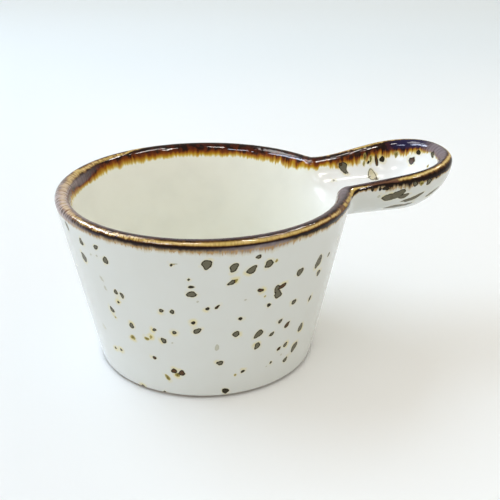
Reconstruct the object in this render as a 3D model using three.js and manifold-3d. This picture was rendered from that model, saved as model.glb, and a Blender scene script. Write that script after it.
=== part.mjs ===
// Handled sauce dish: a tapered stoneware bowl with one open, spoon-shaped trough handle.
// Millimetres, +Z up, the handle along +X. The dish stands on its foot ring at z = 0, and the
// origin lies on the table under the middle of its whole length.
import * as THREE from "three";
import { mergeVertices } from "three/addons/utils/BufferGeometryUtils.js";
import Module from "manifold-3d";

// The bowl, measured on its glaze.
const rimRadius = 41;
const footRadius = 31.5;
const height = 50;
const wall = 4;
const floorThickness = 4.2;
const insideCorner = 9;

// The bare standing ring under it.
const footRingWidth = 3.6;
const footRecess = 1.2;
const footBevel = 0.5;
const bareFoot = 0.8;

// The handle: its length is from the bowl's rim to its tip, and tipLength is the round end alone.
const handleLength = 33;
const handleWidth = 33.2;
const neckWidth = 30.8;
const neckFillet = 4;
const rootLap = 6;
const tipLength = 16.7;
const tipSquareness = 0.61;
const handleRise = 5.6;
const riseCurve = 1.1;
const bellyDrop = 12.5;
const bellyFillet = 2;
const bellyFullness = 1.7;

// The glaze coats, the slip joint under the handle, and how far the brown band reaches down the rim.
const glaze = 0.5;
const glazeGap = 0.2;
const slipJoint = 0.3;
const rimBandOutside = 3;
const rimBandInside = 4;

// How finely curves are cut into facets, and how far a cutting solid reaches past what it cuts.
const bowlFacets = 54;
const cornerFacets = 4;
const rimFacets = 6;
const hiddenRimFacets = 4;
const lapFacets = 2;
const filletFacets = 4;
const sideFacets = 5;
const tipFacets = 8;
const sectionFacets = 6;
const overshoot = 1.5;
const sliverGuard = 0.03;

// What follows from the driving dimensions.
const rimRound = wall / 2;
const rimZ = height - rimRound;
const clayInset = glaze + glazeGap;
const bowlTaper = (rimRadius - footRadius) / rimZ;
const tipX = rimRadius + handleLength;
const widestX = tipX - tipLength;
const filletY = neckWidth / 2 + neckFillet;
const filletX = Math.sqrt((rimRadius + neckFillet) ** 2 - filletY ** 2);
const bellyZ = height - bellyDrop;
const rootX = outsideRadius(bellyZ - bellyFillet) + bellyFillet;
const openTop = height + handleRise + overshoot;

const wasm = await Module();
wasm.setup();

// The bowl's finished outside radius at a height. Over the rim's widest line it grows no more.
function outsideRadius(z) {
  return footRadius + bowlTaper * Math.min(z, rimZ);
}

// The rim's height: level round the bowl, then lifting in a gentle curve to the handle's tip.
function rimHeight(x) {
  const along = THREE.MathUtils.clamp((x - filletX) / (tipX - filletX), 0, 1);
  return height + handleRise * along ** riseCurve;
}

// How far a handle surface bends down where it turns into the bowl's wall, round one common centre.
function rootBend(x, radius) {
  const reach = THREE.MathUtils.clamp(rootX - x, 0, radius);
  return radius - Math.sqrt(radius ** 2 - reach ** 2);
}

// Half of the rim's plan outline: a short lap along the bowl's circle, the concave neck, and the side out
// to the tip. Each station has the outline's place and its outward direction.
function handleOutline() {
  const leaves = Math.atan2(filletY, filletX);
  const lapStart = leaves + rootLap / rimRadius;
  const neck = new THREE.Vector2(filletX, neckWidth / 2);
  const widest = new THREE.Vector2(widestX, handleWidth / 2);
  const tip = new THREE.Vector2(tipX, 0);
  const sidePull = new THREE.Vector2((widestX - filletX) / 2, 0);
  const shoulder = new THREE.Vector2(tipSquareness * tipLength, 0);
  const brow = new THREE.Vector2(0, (tipSquareness * handleWidth) / 2);
  const legs = [
    [lapFacets, new THREE.EllipseCurve(0, 0, rimRadius, rimRadius, lapStart, leaves, true)],
    [
      filletFacets,
      new THREE.EllipseCurve(
        filletX, filletY, neckFillet, neckFillet, Math.PI + leaves, 1.5 * Math.PI, false,
      ),
    ],
    [
      sideFacets,
      new THREE.CubicBezierCurve(neck, neck.clone().add(sidePull), widest.clone().sub(sidePull), widest),
    ],
    [tipFacets, new THREE.CubicBezierCurve(widest, widest.clone().add(shoulder), tip.clone().add(brow), tip)],
  ];
  const stations = [];
  for (const [facets, curve] of legs) {
    for (let step = 0; step < facets; step++) {
      const at = curve.getPoint(step / facets);
      const along = curve.getTangent(step / facets);
      stations.push({ x: at.x, y: at.y, outX: -along.y, outY: along.x });
    }
  }
  stations.push({ x: tipX, y: 0, outX: 1, outY: 0 });
  return stations;
}

// The whole rim's outline as one closed loop, clockwise from above: out along one side of the handle,
// back along the other and round the bowl.
function rimLoop(half) {
  const turn = (2 * Math.PI) / bowlFacets;
  const leaves = Math.atan2(half[0].y, half[0].x);
  const back = half.slice(0, -1).toReversed().map((s) => ({ ...s, y: -s.y, outY: -s.outY }));
  const arc = [];
  for (let step = Math.floor(leaves / turn) + 1; step * turn < 2 * Math.PI - leaves; step++) {
    const outX = Math.cos(step * turn);
    const outY = -Math.sin(step * turn);
    arc.push({ x: rimRadius * outX, y: rimRadius * outY, outX, outY });
  }
  return [...half, ...back, ...arc];
}

// Joins rows of points, each row a closed outline with as many points, into one closed skin. A ring
// of rows closes on itself. Other skins have a cap on the first row, and their last row shrinks shut.
function skin(rows, isRing) {
  const across = rows[0].length;
  const faces = [];
  const quad = (a, b, c, d) => faces.push(a, b, c, a, c, d);
  const lastRow = isRing ? rows.length : rows.length - 1;
  for (let row = 0; row < lastRow; row++) {
    const next = (row + 1) % rows.length;
    for (let k = 0; k < across; k++) {
      const side = (k + 1) % across;
      quad(row * across + k, next * across + k, next * across + side, row * across + side);
    }
  }
  if (!isRing) {
    for (let k = 0; k + 1 < across / 2; k++) {
      quad(k, k + 1, across - 2 - k, across - 1 - k);
    }
  }
  const geometry = new THREE.BufferGeometry();
  geometry.setAttribute("position", new THREE.Float32BufferAttribute(rows.flat(2), 3));
  geometry.setIndex(faces);
  return solid(geometry);
}

// A geometry's vertices and triangles, with shared vertices merged and collapsed triangles dropped.
function sharedVertices(geometry) {
  const bare = geometry.clone();
  bare.deleteAttribute("normal");
  bare.deleteAttribute("uv");
  const merged = mergeVertices(bare);
  const corners = merged.index.array;
  const kept = [];
  for (let k = 0; k < corners.length; k += 3) {
    const [a, b, c] = corners.slice(k, k + 3);
    if (a !== b && b !== c && c !== a) kept.push(a, b, c);
  }
  return { vertProperties: merged.attributes.position.array, triVerts: new Uint32Array(kept) };
}

// A closed geometry as a solid for joining and cutting.
function solid(geometry) {
  return new wasm.Manifold(new wasm.Mesh({ numProp: 3, ...sharedVertices(geometry) }));
}

// Vertices and triangles as a geometry.
function surface({ vertProperties, triVerts }) {
  const geometry = new THREE.BufferGeometry();
  geometry.setAttribute("position", new THREE.BufferAttribute(vertProperties, 3));
  geometry.setIndex(new THREE.BufferAttribute(triVerts, 1));
  return geometry;
}

// A solid turned round the bowl's axis from [radius, z] points that start and end on the axis.
function turned(profile) {
  const points = profile.map(([radius, z]) => new THREE.Vector2(radius, z));
  return solid(new THREE.LatheGeometry(points, bowlFacets).rotateX(Math.PI / 2));
}

// A ring with a section of [inset, drop] points, carried round the rim: inset is measured inwards from
// the rim's outline and drop downwards from the rim's top.
function carriedRound(loop, section) {
  const rows = loop.map(({ x, y, outX, outY }) =>
    section.map(([inset, drop]) => [x - inset * outX, y - inset * outY, rimHeight(x) - drop]),
  );
  return skin(rows, true);
}

// The space over a spoon-shaped sheet, up past the rim. The sheet hangs from the handle's outline, drawn
// in by inset, and sags to bottom under the handle's middle line. Across, it is a superellipse. Where it
// meets the bowl it bends down round the root with bendRadius.
function spoonSpace(half, inset, bottom, bendRadius) {
  const power = 2 / bellyFullness;
  const rows = half.map(({ x, y, outX, outY }) => {
    const edgeX = x - inset * outX;
    const edgeY = y - inset * outY;
    const spineX = Math.min(edgeX, widestX);
    const sheet = [];
    const top = [];
    for (let k = sectionFacets; k >= -sectionFacets; k--) {
      const angle = (Math.PI / 2) * (Math.abs(k) / sectionFacets);
      const outward = Math.sin(angle) ** power;
      const sag = Math.abs(k) === sectionFacets ? 0 : Math.cos(angle) ** power;
      const px = spineX + (edgeX - spineX) * outward;
      const py = Math.sign(k) * edgeY * outward;
      const edgeZ = rimHeight(px) - rimRound;
      sheet.push([px, py, edgeZ - sag * (edgeZ - bottom + rootBend(px, bendRadius))]);
      top.push([px, py, openTop]);
    }
    return [...sheet, ...top.toReversed()];
  });
  return skin(rows, false);
}

// The dish's outer form at a depth under its finished skin, from a lowest level up past the rim.
function bowlForm(depth, lowest) {
  return turned([
    [0, lowest],
    [outsideRadius(lowest) - depth, lowest],
    [rimRadius - depth, rimZ],
    [rimRadius - depth, openTop],
    [0, openTop],
  ]);
}

function bellyForm(half, depth) {
  return spoonSpace(half, depth, bellyZ + depth, bellyFillet + depth);
}

// The hollow at a depth under the finished skin: the bowl's inside with its round corner, and the trough.
function hollowForm(half, depth) {
  const floorZ = footRecess + floorThickness - depth;
  const corner = insideCorner + depth;
  const lean = Math.atan(bowlTaper);
  const insideRadius = (z) => outsideRadius(z) - wall + depth;
  const centreZ = floorZ + corner;
  const centreR = insideRadius(centreZ) - corner / Math.cos(lean);
  const profile = [[0, floorZ]];
  for (let step = 0; step <= cornerFacets; step++) {
    const angle = ((Math.PI / 2 - lean) * step) / cornerFacets;
    profile.push([centreR + corner * Math.sin(angle), centreZ - corner * Math.cos(angle)]);
  }
  profile.push([insideRadius(rimZ), rimZ], [insideRadius(openTop), openTop], [0, openTop]);
  const below = wall - depth;
  const trough = spoonSpace(half, below, bellyZ + below, bellyFillet + below);
  return turned(profile).add(trough);
}

// All that lies over the round top of the rim, at a depth under its finished skin.
function overRim(loop, depth) {
  const radius = rimRound - depth + sliverGuard;
  const facets = depth ? hiddenRimFacets : rimFacets;
  const section = [[-overshoot, rimRound]];
  for (let step = 0; step <= facets; step++) {
    const angle = (Math.PI * step) / facets;
    section.push([rimRound - radius * Math.cos(angle), rimRound - radius * Math.sin(angle)]);
  }
  const clear = height - openTop - overshoot;
  section.push([wall + overshoot, rimRound], [wall + overshoot, clear], [-overshoot, clear]);
  return carriedRound(loop, section);
}

// The zone of the brown band, from a little above the rim down to its two lower edges.
function bandZone(loop, extra) {
  const clear = height - openTop - overshoot;
  return carriedRound(loop, [
    [-overshoot, clear],
    [-overshoot, rimBandOutside + extra],
    [rimRound, rimBandOutside + extra],
    [rimRound, rimBandInside + extra],
    [wall + overshoot, rimBandInside + extra],
    [wall + overshoot, clear],
  ]);
}

const half = handleOutline();
const loop = rimLoop(half);

// The dish's walls at a depth under the finished skin: outer form less the hollow, with a round rim.
function walls(depth) {
  return bowlForm(depth, bareFoot)
    .add(bellyForm(half, depth))
    .subtract(hollowForm(half, depth))
    .subtract(overRim(loop, depth));
}

// The clay bowl stands on its foot ring, and its wall is notched where the trough runs into it.
function clayBowl() {
  const ringOuter = footRadius - clayInset;
  const ringInner = ringOuter - footRingWidth;
  const recessZ = footRecess + clayInset;
  return turned([
    [0, recessZ],
    [ringInner, recessZ],
    [ringInner, 0],
    [ringOuter - footBevel, 0],
    [outsideRadius(footBevel) - clayInset, footBevel],
    [rimRadius - clayInset, rimZ],
    [rimRadius - clayInset, openTop],
    [0, openTop],
  ])
    .subtract(hollowForm(half, clayInset))
    .subtract(overRim(loop, clayInset));
}

// The clay handle is fitted to the bowl's wall over a thin joint of slip.
function clayHandle() {
  return bellyForm(half, clayInset)
    .subtract(bowlForm(clayInset - slipJoint, 0))
    .subtract(hollowForm(half, clayInset))
    .subtract(overRim(loop, clayInset));
}

function outsideCoat() {
  const outer = bowlForm(0, bareFoot).add(bellyForm(half, 0));
  const inner = bowlForm(glaze, 0).add(bellyForm(half, glaze));
  return outer.subtract(inner).subtract(bandZone(loop, glazeGap));
}

function insideCoat() {
  return hollowForm(half, glaze).subtract(hollowForm(half, 0)).subtract(bandZone(loop, glazeGap));
}

function rimCoat() {
  return walls(0).subtract(walls(glaze)).intersect(bandZone(loop, 0));
}

function baseCoat() {
  const edge = footRadius - clayInset - footRingWidth - glazeGap;
  return turned([
    [0, footRecess],
    [edge, footRecess],
    [edge, footRecess + glaze],
    [0, footRecess + glaze],
  ]);
}

// A named piece with flat facets.
function piece(name, shape, material) {
  const geometry = surface(sharedVertices(surface(shape.getMesh()))).toNonIndexed();
  geometry.computeVertexNormals();
  const mesh = new THREE.Mesh(geometry, material);
  mesh.name = name;
  return mesh;
}

const clay = new THREE.MeshStandardMaterial({ color: 0xb7a48b, roughness: 0.9, metalness: 0 });
const speckled = new THREE.MeshStandardMaterial({ color: 0xd8dad2, roughness: 0.12, metalness: 0 });
const liner = new THREE.MeshStandardMaterial({ color: 0xdcdccb, roughness: 0.12, metalness: 0 });
const brown = new THREE.MeshStandardMaterial({ color: 0x5a2f12, roughness: 0.1, metalness: 0 });

const dish = new THREE.Group();
dish.position.x = (rimRadius - tipX) / 2;
dish.add(
  piece("bowl", clayBowl(), clay),
  piece("handle", clayHandle(), clay),
  piece("outside_glaze", outsideCoat(), speckled),
  piece("inside_glaze", insideCoat(), liner),
  piece("rim_glaze", rimCoat(), brown),
  piece("base_glaze", baseCoat(), speckled),
);

const part = new THREE.Group();
part.add(dish);

export default part;
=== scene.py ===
# %% [markdown]
# # A small sauce dish with a spoon-shaped handle
# The dish is stoneware: a tapered bowl whose rim runs out, without a break, into an open trough of a
# handle. Its solids are already packed in a frame, at their real size. This lesson dresses them. The
# glaze coats are made again as fine skins over the same clay, and the finish is painted by node
# materials.

# %% Load the frame
import math

import bpy
import numpy as np
from mathutils import Color, Matrix, Vector


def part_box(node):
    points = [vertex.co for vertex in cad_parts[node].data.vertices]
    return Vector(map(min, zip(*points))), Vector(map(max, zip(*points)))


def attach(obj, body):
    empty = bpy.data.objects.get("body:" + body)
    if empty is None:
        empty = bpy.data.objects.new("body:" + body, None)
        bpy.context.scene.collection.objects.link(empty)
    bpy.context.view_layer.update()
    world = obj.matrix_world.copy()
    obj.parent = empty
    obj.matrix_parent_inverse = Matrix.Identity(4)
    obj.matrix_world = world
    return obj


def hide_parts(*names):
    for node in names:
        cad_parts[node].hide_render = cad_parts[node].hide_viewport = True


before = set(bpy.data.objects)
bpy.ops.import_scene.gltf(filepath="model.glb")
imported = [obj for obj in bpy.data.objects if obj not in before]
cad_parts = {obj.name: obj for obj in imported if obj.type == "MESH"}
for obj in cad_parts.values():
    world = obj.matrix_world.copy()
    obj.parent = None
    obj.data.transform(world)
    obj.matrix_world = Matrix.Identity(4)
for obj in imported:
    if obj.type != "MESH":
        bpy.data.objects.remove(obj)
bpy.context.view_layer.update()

MM = 0.001

# %% [markdown]
# ## Sizes
# The skins follow the same few driving sizes as the solids, in millimetres, measured on the finished
# glaze. They are set out from the bowl's axis, and the frame says where that axis stands. Only the
# roundings are finer than in the solids: a fired glaze softens every corner.

# %% Sizes of the dish
RIM_RADIUS = 41.0
FOOT_RADIUS = 31.5
HEIGHT = 50.0
WALL = 4.0
FLOOR_Z = 5.4
INSIDE_CORNER = 9.0
BARE_FOOT = 0.8
GLAZE = 0.45
RIM_BAND_OUTSIDE = 3.0
RIM_BAND_INSIDE = 4.0

HANDLE_LENGTH = 33.0
HANDLE_WIDTH = 33.2
NECK_WIDTH = 30.8
NECK_FILLET = 4.0
TIP_LENGTH = 16.7
TIP_POWER = 2.2
HANDLE_RISE = 5.6
RISE_SOFTNESS = 5.0
BELLY_DROP = 12.5
BELLY_FULLNESS = 1.7
KEEL_SOFTNESS = 0.2

OUTER_FILLET = 2.5
LIP_ROUND = 4.5
NECK_ROUND = 1.8

RIM_ROUND = WALL / 2
RIM_Z = HEIGHT - RIM_ROUND
TAPER = (RIM_RADIUS - FOOT_RADIUS) / RIM_Z
LEAN_COS = math.cos(math.atan(TAPER))
TIP_X = RIM_RADIUS + HANDLE_LENGTH
WIDEST_X = TIP_X - TIP_LENGTH
NECK_Y = NECK_WIDTH / 2 + NECK_FILLET
NECK_X = math.sqrt((RIM_RADIUS + NECK_FILLET) ** 2 - NECK_Y**2)
BELLY_Z = HEIGHT - BELLY_DROP
SPOON_START = 18.0

base_low, base_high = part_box("base_glaze")
BOWL_X = (base_low.x + base_high.x) / 2 / MM
print("bowl axis at x =", round(BOWL_X, 2), "mm; handle tip", round(TIP_X + BOWL_X, 2), "mm")

# %% [markdown]
# ## The form as two distance fields
# The outside is a cone joined to a spoon-shaped belly, and the hollow is a smaller cone joined to a
# smaller spoon. Each could be a mesh boolean, but a boolean leaves a hard crease where they meet. Here
# both are distance fields, which join with a round fillet as wide as we like, and the skin is then read
# off the joined field as a height over each point of the plan.

# %% Lines that both fields follow


def outside_radius(z):
    """The cone's radius at a height: the foot's radius plus taper times height, up to the rim's widest
    line."""
    return FOOT_RADIUS + TAPER * np.minimum(z, RIM_Z)


def soft_ramp(x, start, softness):
    """0 before start, then rising one for one, its corner rounded: (d + sqrt(d^2 + softness^2)) / 2."""
    d = x - start
    return (d + np.sqrt(d * d + softness**2)) / 2


def edge_height(x):
    """The height of the rim's widest line: level round the bowl, lifting softly to the handle's tip."""
    share = soft_ramp(x, NECK_X, RISE_SOFTNESS) / soft_ramp(TIP_X, NECK_X, RISE_SOFTNESS)
    return RIM_Z + HANDLE_RISE * share


def smooth_step(value, low, high):
    """3t^2 - 2t^3 of value's place t between low and high."""
    t = np.clip((value - low) / (high - low), 0, 1)
    return t * t * (3 - 2 * t)


def half_width(x):
    """Half of the handle's width: the neck's, easing out to the full width."""
    return (NECK_WIDTH + (HANDLE_WIDTH - NECK_WIDTH) * smooth_step(x, NECK_X, WIDEST_X)) / 2


lifts = [round(edge_height(x), 2) for x in (0.0, TIP_X)]
print("rim's widest line, at the bowl's axis and at the tip:", lifts, "mm high")

# %% [markdown]
# ## The spoon
# The handle is a spoon hung from the rim. A superellipse is an ellipse whose power isn't 2: with a higher
# one it is fuller, and with a lower one leaner. A full one serves for the plan of the tip, and a lean one
# for the sag from side to side. The spoon could be lofted through drawn sections, but a formula gives a
# field that the bowl's can be joined to.

# %% Field of the spoon
LEAST_SLOPE = 1e-3


def soft_power(share):
    """share^fullness, rounded at 0 and scaled to stay 1 at 1, so that the spoon's keel has no crease."""
    def raised(v):
        return (v * v + KEEL_SOFTNESS**2) ** (BELLY_FULLNESS / 2) - KEEL_SOFTNESS**BELLY_FULLNESS
    return raised(share) / raised(1.0)


def spoon(x, y, z, inset, bottom):
    """About how far a point lies outside a spoon hung from the rim: across^fullness + down^fullness = 1,
    where across is the share of the plan's half width and down the share of the depth. Past the widest
    line the plan is the superellipse of the round tip."""
    width = half_width(x) - inset
    ahead = np.maximum(x - WIDEST_X, 0) / (TIP_LENGTH - inset)
    across = (ahead**TIP_POWER + (np.abs(y) / width) ** TIP_POWER) ** (1 / TIP_POWER)
    depth = edge_height(x) - bottom
    down = np.maximum(edge_height(x) - z, 0) / depth
    level = (soft_power(across) + soft_power(down)) ** (1 / BELLY_FULLNESS)
    slope = np.hypot(across ** (BELLY_FULLNESS - 1) / width, down ** (BELLY_FULLNESS - 1) / depth)
    return np.maximum((level - 1) / (slope + LEAST_SLOPE), SPOON_START - x)


print("spoon:", round(edge_height(WIDEST_X) - BELLY_Z, 2), "mm from rim to keel where it is widest")

# %% [markdown]
# ## Outside and hollow
# The clay is what lies between two forms. The hollow could be the outside moved in by the wall, but then
# it would have the outside's rounds, so each form is joined by itself. The hollow's round is tighter at
# the rim than at the trough's floor, where the handle opens into the bowl over a soft lip.

# %% Fields of the outside and the hollow
HALVINGS = 44


def soft_union(a, b, radius):
    """Two fields as one, the corner between them filled with a round of that radius."""
    gap = np.hypot(np.maximum(radius - a, 0), np.maximum(radius - b, 0))
    return np.maximum(radius, np.minimum(a, b)) - gap


def round_corner(a, b, radius):
    """Where both fields hold, with the corner between them rounded."""
    reach = np.hypot(np.maximum(radius + a, 0), np.maximum(radius + b, 0))
    return np.minimum(-radius, np.maximum(a, b)) + reach


def outer_form(x, y, z):
    """The dish as if it were full: the cone and the belly of the handle."""
    cone = (np.hypot(x, y) - outside_radius(z)) * LEAN_COS
    return soft_union(cone, spoon(x, y, z, 0.0, BELLY_Z), OUTER_FILLET)


def hollow_form(x, y, z):
    """What the dish holds: the inner cone with its round floor corner, and the trough of the handle."""
    cone = (np.hypot(x, y) - outside_radius(z) + WALL) * LEAN_COS
    bowl = round_corner(cone, FLOOR_Z - z, INSIDE_CORNER)
    trough_z = BELLY_Z + WALL
    lip = LIP_ROUND + (NECK_ROUND - LIP_ROUND) * smooth_step(z, trough_z, RIM_Z)
    return soft_union(bowl, spoon(x, y, z, WALL, trough_z), lip)


def halve(field, low, high):
    """The place between low and high where field changes sign, found by halving whole arrays. The field
    is true from that place on towards high."""
    for _ in range(HALVINGS):
        middle = (low + high) / 2
        found = field(middle)
        low = np.where(found, low, middle)
        high = np.where(found, middle, high)
    return (low + high) / 2


mid_wall = (WALL / 2 - outside_radius(HEIGHT / 2), 0.0, HEIGHT / 2)
depths = (-outer_form(*mid_wall), hollow_form(*mid_wall))
print("wall: its middle lies", [round(float(depth), 2) for depth in depths], "mm under its two faces")

# %% [markdown]
# ## The rim's outline
# Seen from above, the rim is one closed loop. It is found along rays from the bowl's axis. The rays
# themselves could be the columns of the skin, but along the handle they would lie far apart. So the loop
# is cut into columns that are even along it, and closer together where the neck bends.

# %% Columns round the rim
COLUMNS = 640
RAYS = 9000
NECK_CROWDING = 4.0
THINNEST_RIM = WALL / 4
THICKEST_RIM = WALL * 2.5


def outline_radius(angle):
    """How far out the rim's widest line lies in each direction from the bowl's axis."""
    def outside(radius):
        x, y = radius * np.cos(angle), radius * np.sin(angle)
        return outer_form(x, y, edge_height(x)) > 0
    return halve(outside, np.full_like(angle, RIM_RADIUS - WALL), np.full_like(angle, TIP_X + WALL))


def loop_difference(points):
    """Half the way from each point's left neighbour to its right one, round a closed loop."""
    return (np.roll(points, -1, axis=0) - np.roll(points, 1, axis=0)) / 2


def rim_columns(count):
    """Angles of columns spaced evenly by length, with the loop's bend added to the length."""
    angle = np.linspace(-np.pi, np.pi, RAYS, endpoint=False)
    spot = outline_radius(angle)[:, None] * np.stack([np.cos(angle), np.sin(angle)], axis=1)
    tangent = loop_difference(spot)
    length = np.linalg.norm(tangent, axis=1)
    turn = np.linalg.norm(loop_difference(tangent / length[:, None]), axis=1)
    run = np.cumsum(length + NECK_CROWDING * turn)
    return np.interp((np.arange(count) + 0.5) / count * run[-1], run, angle)


angles = rim_columns(COLUMNS)
compass = np.stack([np.cos(angles), np.sin(angles)], axis=1)
outer_plan = outline_radius(angles)[:, None] * compass
tangents = loop_difference(outer_plan)
outward = np.stack([tangents[:, 1], -tangents[:, 0]], axis=1)
outward /= np.linalg.norm(outward, axis=1)[:, None]
rim_run = np.cumsum(np.linalg.norm(tangents, axis=1))


def into_hollow(reach):
    """True where a point that far in from the rim's outline is in the hollow."""
    at = outer_plan - reach[:, None] * outward
    return hollow_form(at[:, 0], at[:, 1], edge_height(at[:, 0])) < 0


thickness = halve(into_hollow, np.full(COLUMNS, THINNEST_RIM), np.full(COLUMNS, THICKEST_RIM))
inner_plan = outer_plan - thickness[:, None] * outward
print("rim:", round(rim_run[-1], 1), "mm round")
print("rim:", round(thickness.min(), 2), "to", round(thickness.max(), 2), "mm thick")

# %% [markdown]
# ## Walking down the walls
# Each column leaves the rim square to it and flows on down the wall: outside to the foot, inside to the
# middle of the floor. It could run straight to the bowl's axis, but then it would cross the handle's
# sides at a slant. So a walk is first drawn in plan, as a curve, then dropped onto the field, and last
# cut into rows. The handle's columns gather under it as they reach the bowl.

# %% Walks in plan
PLAN_STEPS = 220
SIDE_ANGLE = math.atan2(NECK_WIDTH / 2, NECK_X)
from_tip = rim_run - np.interp(0.0, angles, rim_run)
side_run = np.interp(SIDE_ANGLE, angles, from_tip)


def gather_angles(plan):
    """The direction in which each column reaches the bowl: its own, or for the columns along the handle's
    side and tip, the direction of the side's first column times the share of the way from the tip."""
    own = np.arctan2(plan[:, 1], plan[:, 0])
    first = np.interp(SIDE_ANGLE, angles, own)
    return np.where(np.abs(angles) < SIDE_ANGLE, first * from_tip / side_run, own)


def plan_walk(start, gather_radius, end_radius):
    """Plan points of every column's walk: a cubic curve that leaves the rim square to it and arrives
    radially on the gathering circle, then a straight line to the end radius."""
    way = gather_angles(start)
    arrive = np.stack([np.cos(way), np.sin(way)], axis=1)
    gather = gather_radius * arrive
    reach = np.linalg.norm(start - gather, axis=1)[:, None] / 3
    knots = (start, start - reach * outward, gather + reach * arrive, gather)
    t = (np.linspace(0, 1, PLAN_STEPS) ** 2)[None, :, None]
    weights = ((1 - t) ** 3, 3 * t * (1 - t) ** 2, 3 * t * t * (1 - t), t**3)
    curve = sum(w * k[:, None, :] for w, k in zip(weights, knots))
    radius = np.linspace(gather_radius, end_radius, PLAN_STEPS)[None, 1:, None]
    return np.concatenate([curve, radius * arrive[:, None, :]], axis=1)


print("handle's side:", round(side_run, 1), "mm from the tip to the neck")

# %% [markdown]
# ## Rows down the walls
# Each plan point is dropped onto its wall by halving, and the path is cut into rows. Even rows all the
# way would be simpler, but the rim's coat has to end on one of them. So the rows are even over the rim's
# band, and then even from there to the walk's end.

# %% Walks down the two walls
GATHER_OUTSIDE = 37.0
GATHER_INSIDE = 32.0
POLE_RADIUS = 0.5
SEARCH_DEPTH = 1.0
BAND_OUTSIDE = RIM_BAND_OUTSIDE - RIM_ROUND
BAND_INSIDE = RIM_BAND_INSIDE - RIM_ROUND
BAND_ROWS = 10
WALL_ROWS = 104


def drop(form, plan, lowest):
    """The plan points with the height where each enters the form from below."""
    x, y = plan[..., 0], plan[..., 1]
    top = edge_height(x)
    z = halve(lambda height: form(x, y, height) < 0, np.full_like(x, lowest), top)
    return np.stack([x, y, z], axis=-1)


def walked(path):
    """How far each point of each column's path is from the path's start."""
    steps = np.linalg.norm(np.diff(path, axis=1), axis=2)
    return np.concatenate([np.zeros((len(path), 1)), np.cumsum(steps, axis=1)], axis=1)


def cut_evenly(path, wanted):
    """The points at the wanted distances along every column's path, all columns in one lookup."""
    run = walked(path)
    lift = np.arange(len(path))[:, None] * (run.max() + 1)
    place = np.searchsorted((run + lift).ravel(), (wanted + lift).ravel()).reshape(wanted.shape)
    first = np.arange(len(path))[:, None] * path.shape[1]
    after = np.clip(place, first + 1, first + path.shape[1] - 1)
    flat_run, flat_path = run.ravel(), path.reshape(-1, 3)
    share = (wanted - flat_run[after - 1]) / (flat_run[after] - flat_run[after - 1])
    share = np.clip(share, 0, 1)[..., None]
    return flat_path[after - 1] * (1 - share) + flat_path[after] * share


def wall_rows(path, band):
    """Distances down each column: even rows over the rim's band, then even rows to the walk's end."""
    end = walked(path)[:, -1:]
    down_band = np.linspace(0, band, BAND_ROWS + 1)[None, :] * np.ones_like(end)
    share = np.linspace(0, 1, WALL_ROWS + 1)[None, 1:]
    return np.concatenate([down_band, band + (end - band) * share], axis=1)


foot_edge = float(outside_radius(np.array(BARE_FOOT)))
outside_path = drop(outer_form, plan_walk(outer_plan, GATHER_OUTSIDE, foot_edge), -SEARCH_DEPTH)
inside_path = drop(hollow_form, plan_walk(inner_plan, GATHER_INSIDE, POLE_RADIUS), FLOOR_Z - SEARCH_DEPTH)
outside_down = wall_rows(outside_path, BAND_OUTSIDE)
inside_down = wall_rows(inside_path, BAND_INSIDE)
outside_wall = cut_evenly(outside_path, outside_down)
inside_wall = cut_evenly(inside_path, inside_down)
longest = [round(down[:, -1].max(), 1) for down in (outside_down, inside_down)]
print("longest walks outside and inside:", longest, "mm")

# %% [markdown]
# ## The round of the rim
# Over the edge the two walls are joined by a half round. A bevel could make one, but not on a grid whose
# rows stay in order. This one is worked out: its two axes are the way across the wall and the way the
# walls point as they arrive, so that it leaves both without a corner.

# %% The rim's half round
ROUND_ROWS = 40
ARRIVAL_ROW = 3


def unit(vectors):
    """The vectors scaled to length 1."""
    return vectors / np.linalg.norm(vectors, axis=-1, keepdims=True)


def rim_round():
    """middle + half width * cos(turn) + rise * sin(turn), turning from 0 outside to half a turn inside."""
    middle = (outside_wall[:, :1] + inside_wall[:, :1]) / 2
    across = (outside_wall[:, :1] - inside_wall[:, :1]) / 2
    up = sum(unit(wall[:, :1] - wall[:, [ARRIVAL_ROW]]) for wall in (outside_wall, inside_wall))
    turn = np.linspace(0, np.pi, ROUND_ROWS + 1)[None, 1:-1, None]
    return middle + across * np.cos(turn) + RIM_ROUND * unit(up) * np.sin(turn)


def one_skin():
    """The whole skin from the foot up, over the rim and down to the floor, as [column, row] points, with
    each point's distance from the rim's crest along the skin: positive outside and negative inside."""
    quarter = RIM_ROUND * np.pi / 2
    over = np.linspace(quarter, -quarter, ROUND_ROWS + 1)[None, 1:-1] * np.ones((COLUMNS, 1))
    points = np.concatenate([outside_wall[:, ::-1], rim_round(), inside_wall], axis=1)
    crest = np.concatenate([quarter + outside_down[:, ::-1], over, -quarter - inside_down], axis=1)
    return points, crest


def skin_normals(points):
    """The cross product of the way along the columns' loop and the way up the rows."""
    along = loop_difference(points)
    up = np.gradient(points, axis=1)
    return unit(np.cross(along, up))


skin, crest_distance = one_skin()
normals = skin_normals(skin)
FIRST_RIM_ROW = WALL_ROWS
LAST_RIM_ROW = WALL_ROWS + 2 * BAND_ROWS + ROUND_ROWS
print("skin:", skin.shape[0], "columns by", skin.shape[1], "rows")
print("skin: top at", round(skin[..., 2].max(), 2), "mm")

# %% [markdown]
# ## The camera
# The camera stands where the photographer stood: a little above the rim, to the left of the handle. Its
# place was fitted once to the rim, the foot and the handle's outline. It comes before the glaze, because
# the specks are found by looking through it.

# %% Camera at the photograph's viewpoint
CAMERA_PLACE = np.array([-60.43, -200.63, 122.61])
CAMERA_AZIMUTH = math.radians(15.95)
CAMERA_PITCH = math.radians(24.42)
CAMERA_ROLL = math.radians(0.37)
FOCAL_PIXELS = 774.4
IMAGE_PIXELS = 500
SENSOR = 36.0
NEAREST_SEEN = 0.01


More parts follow.
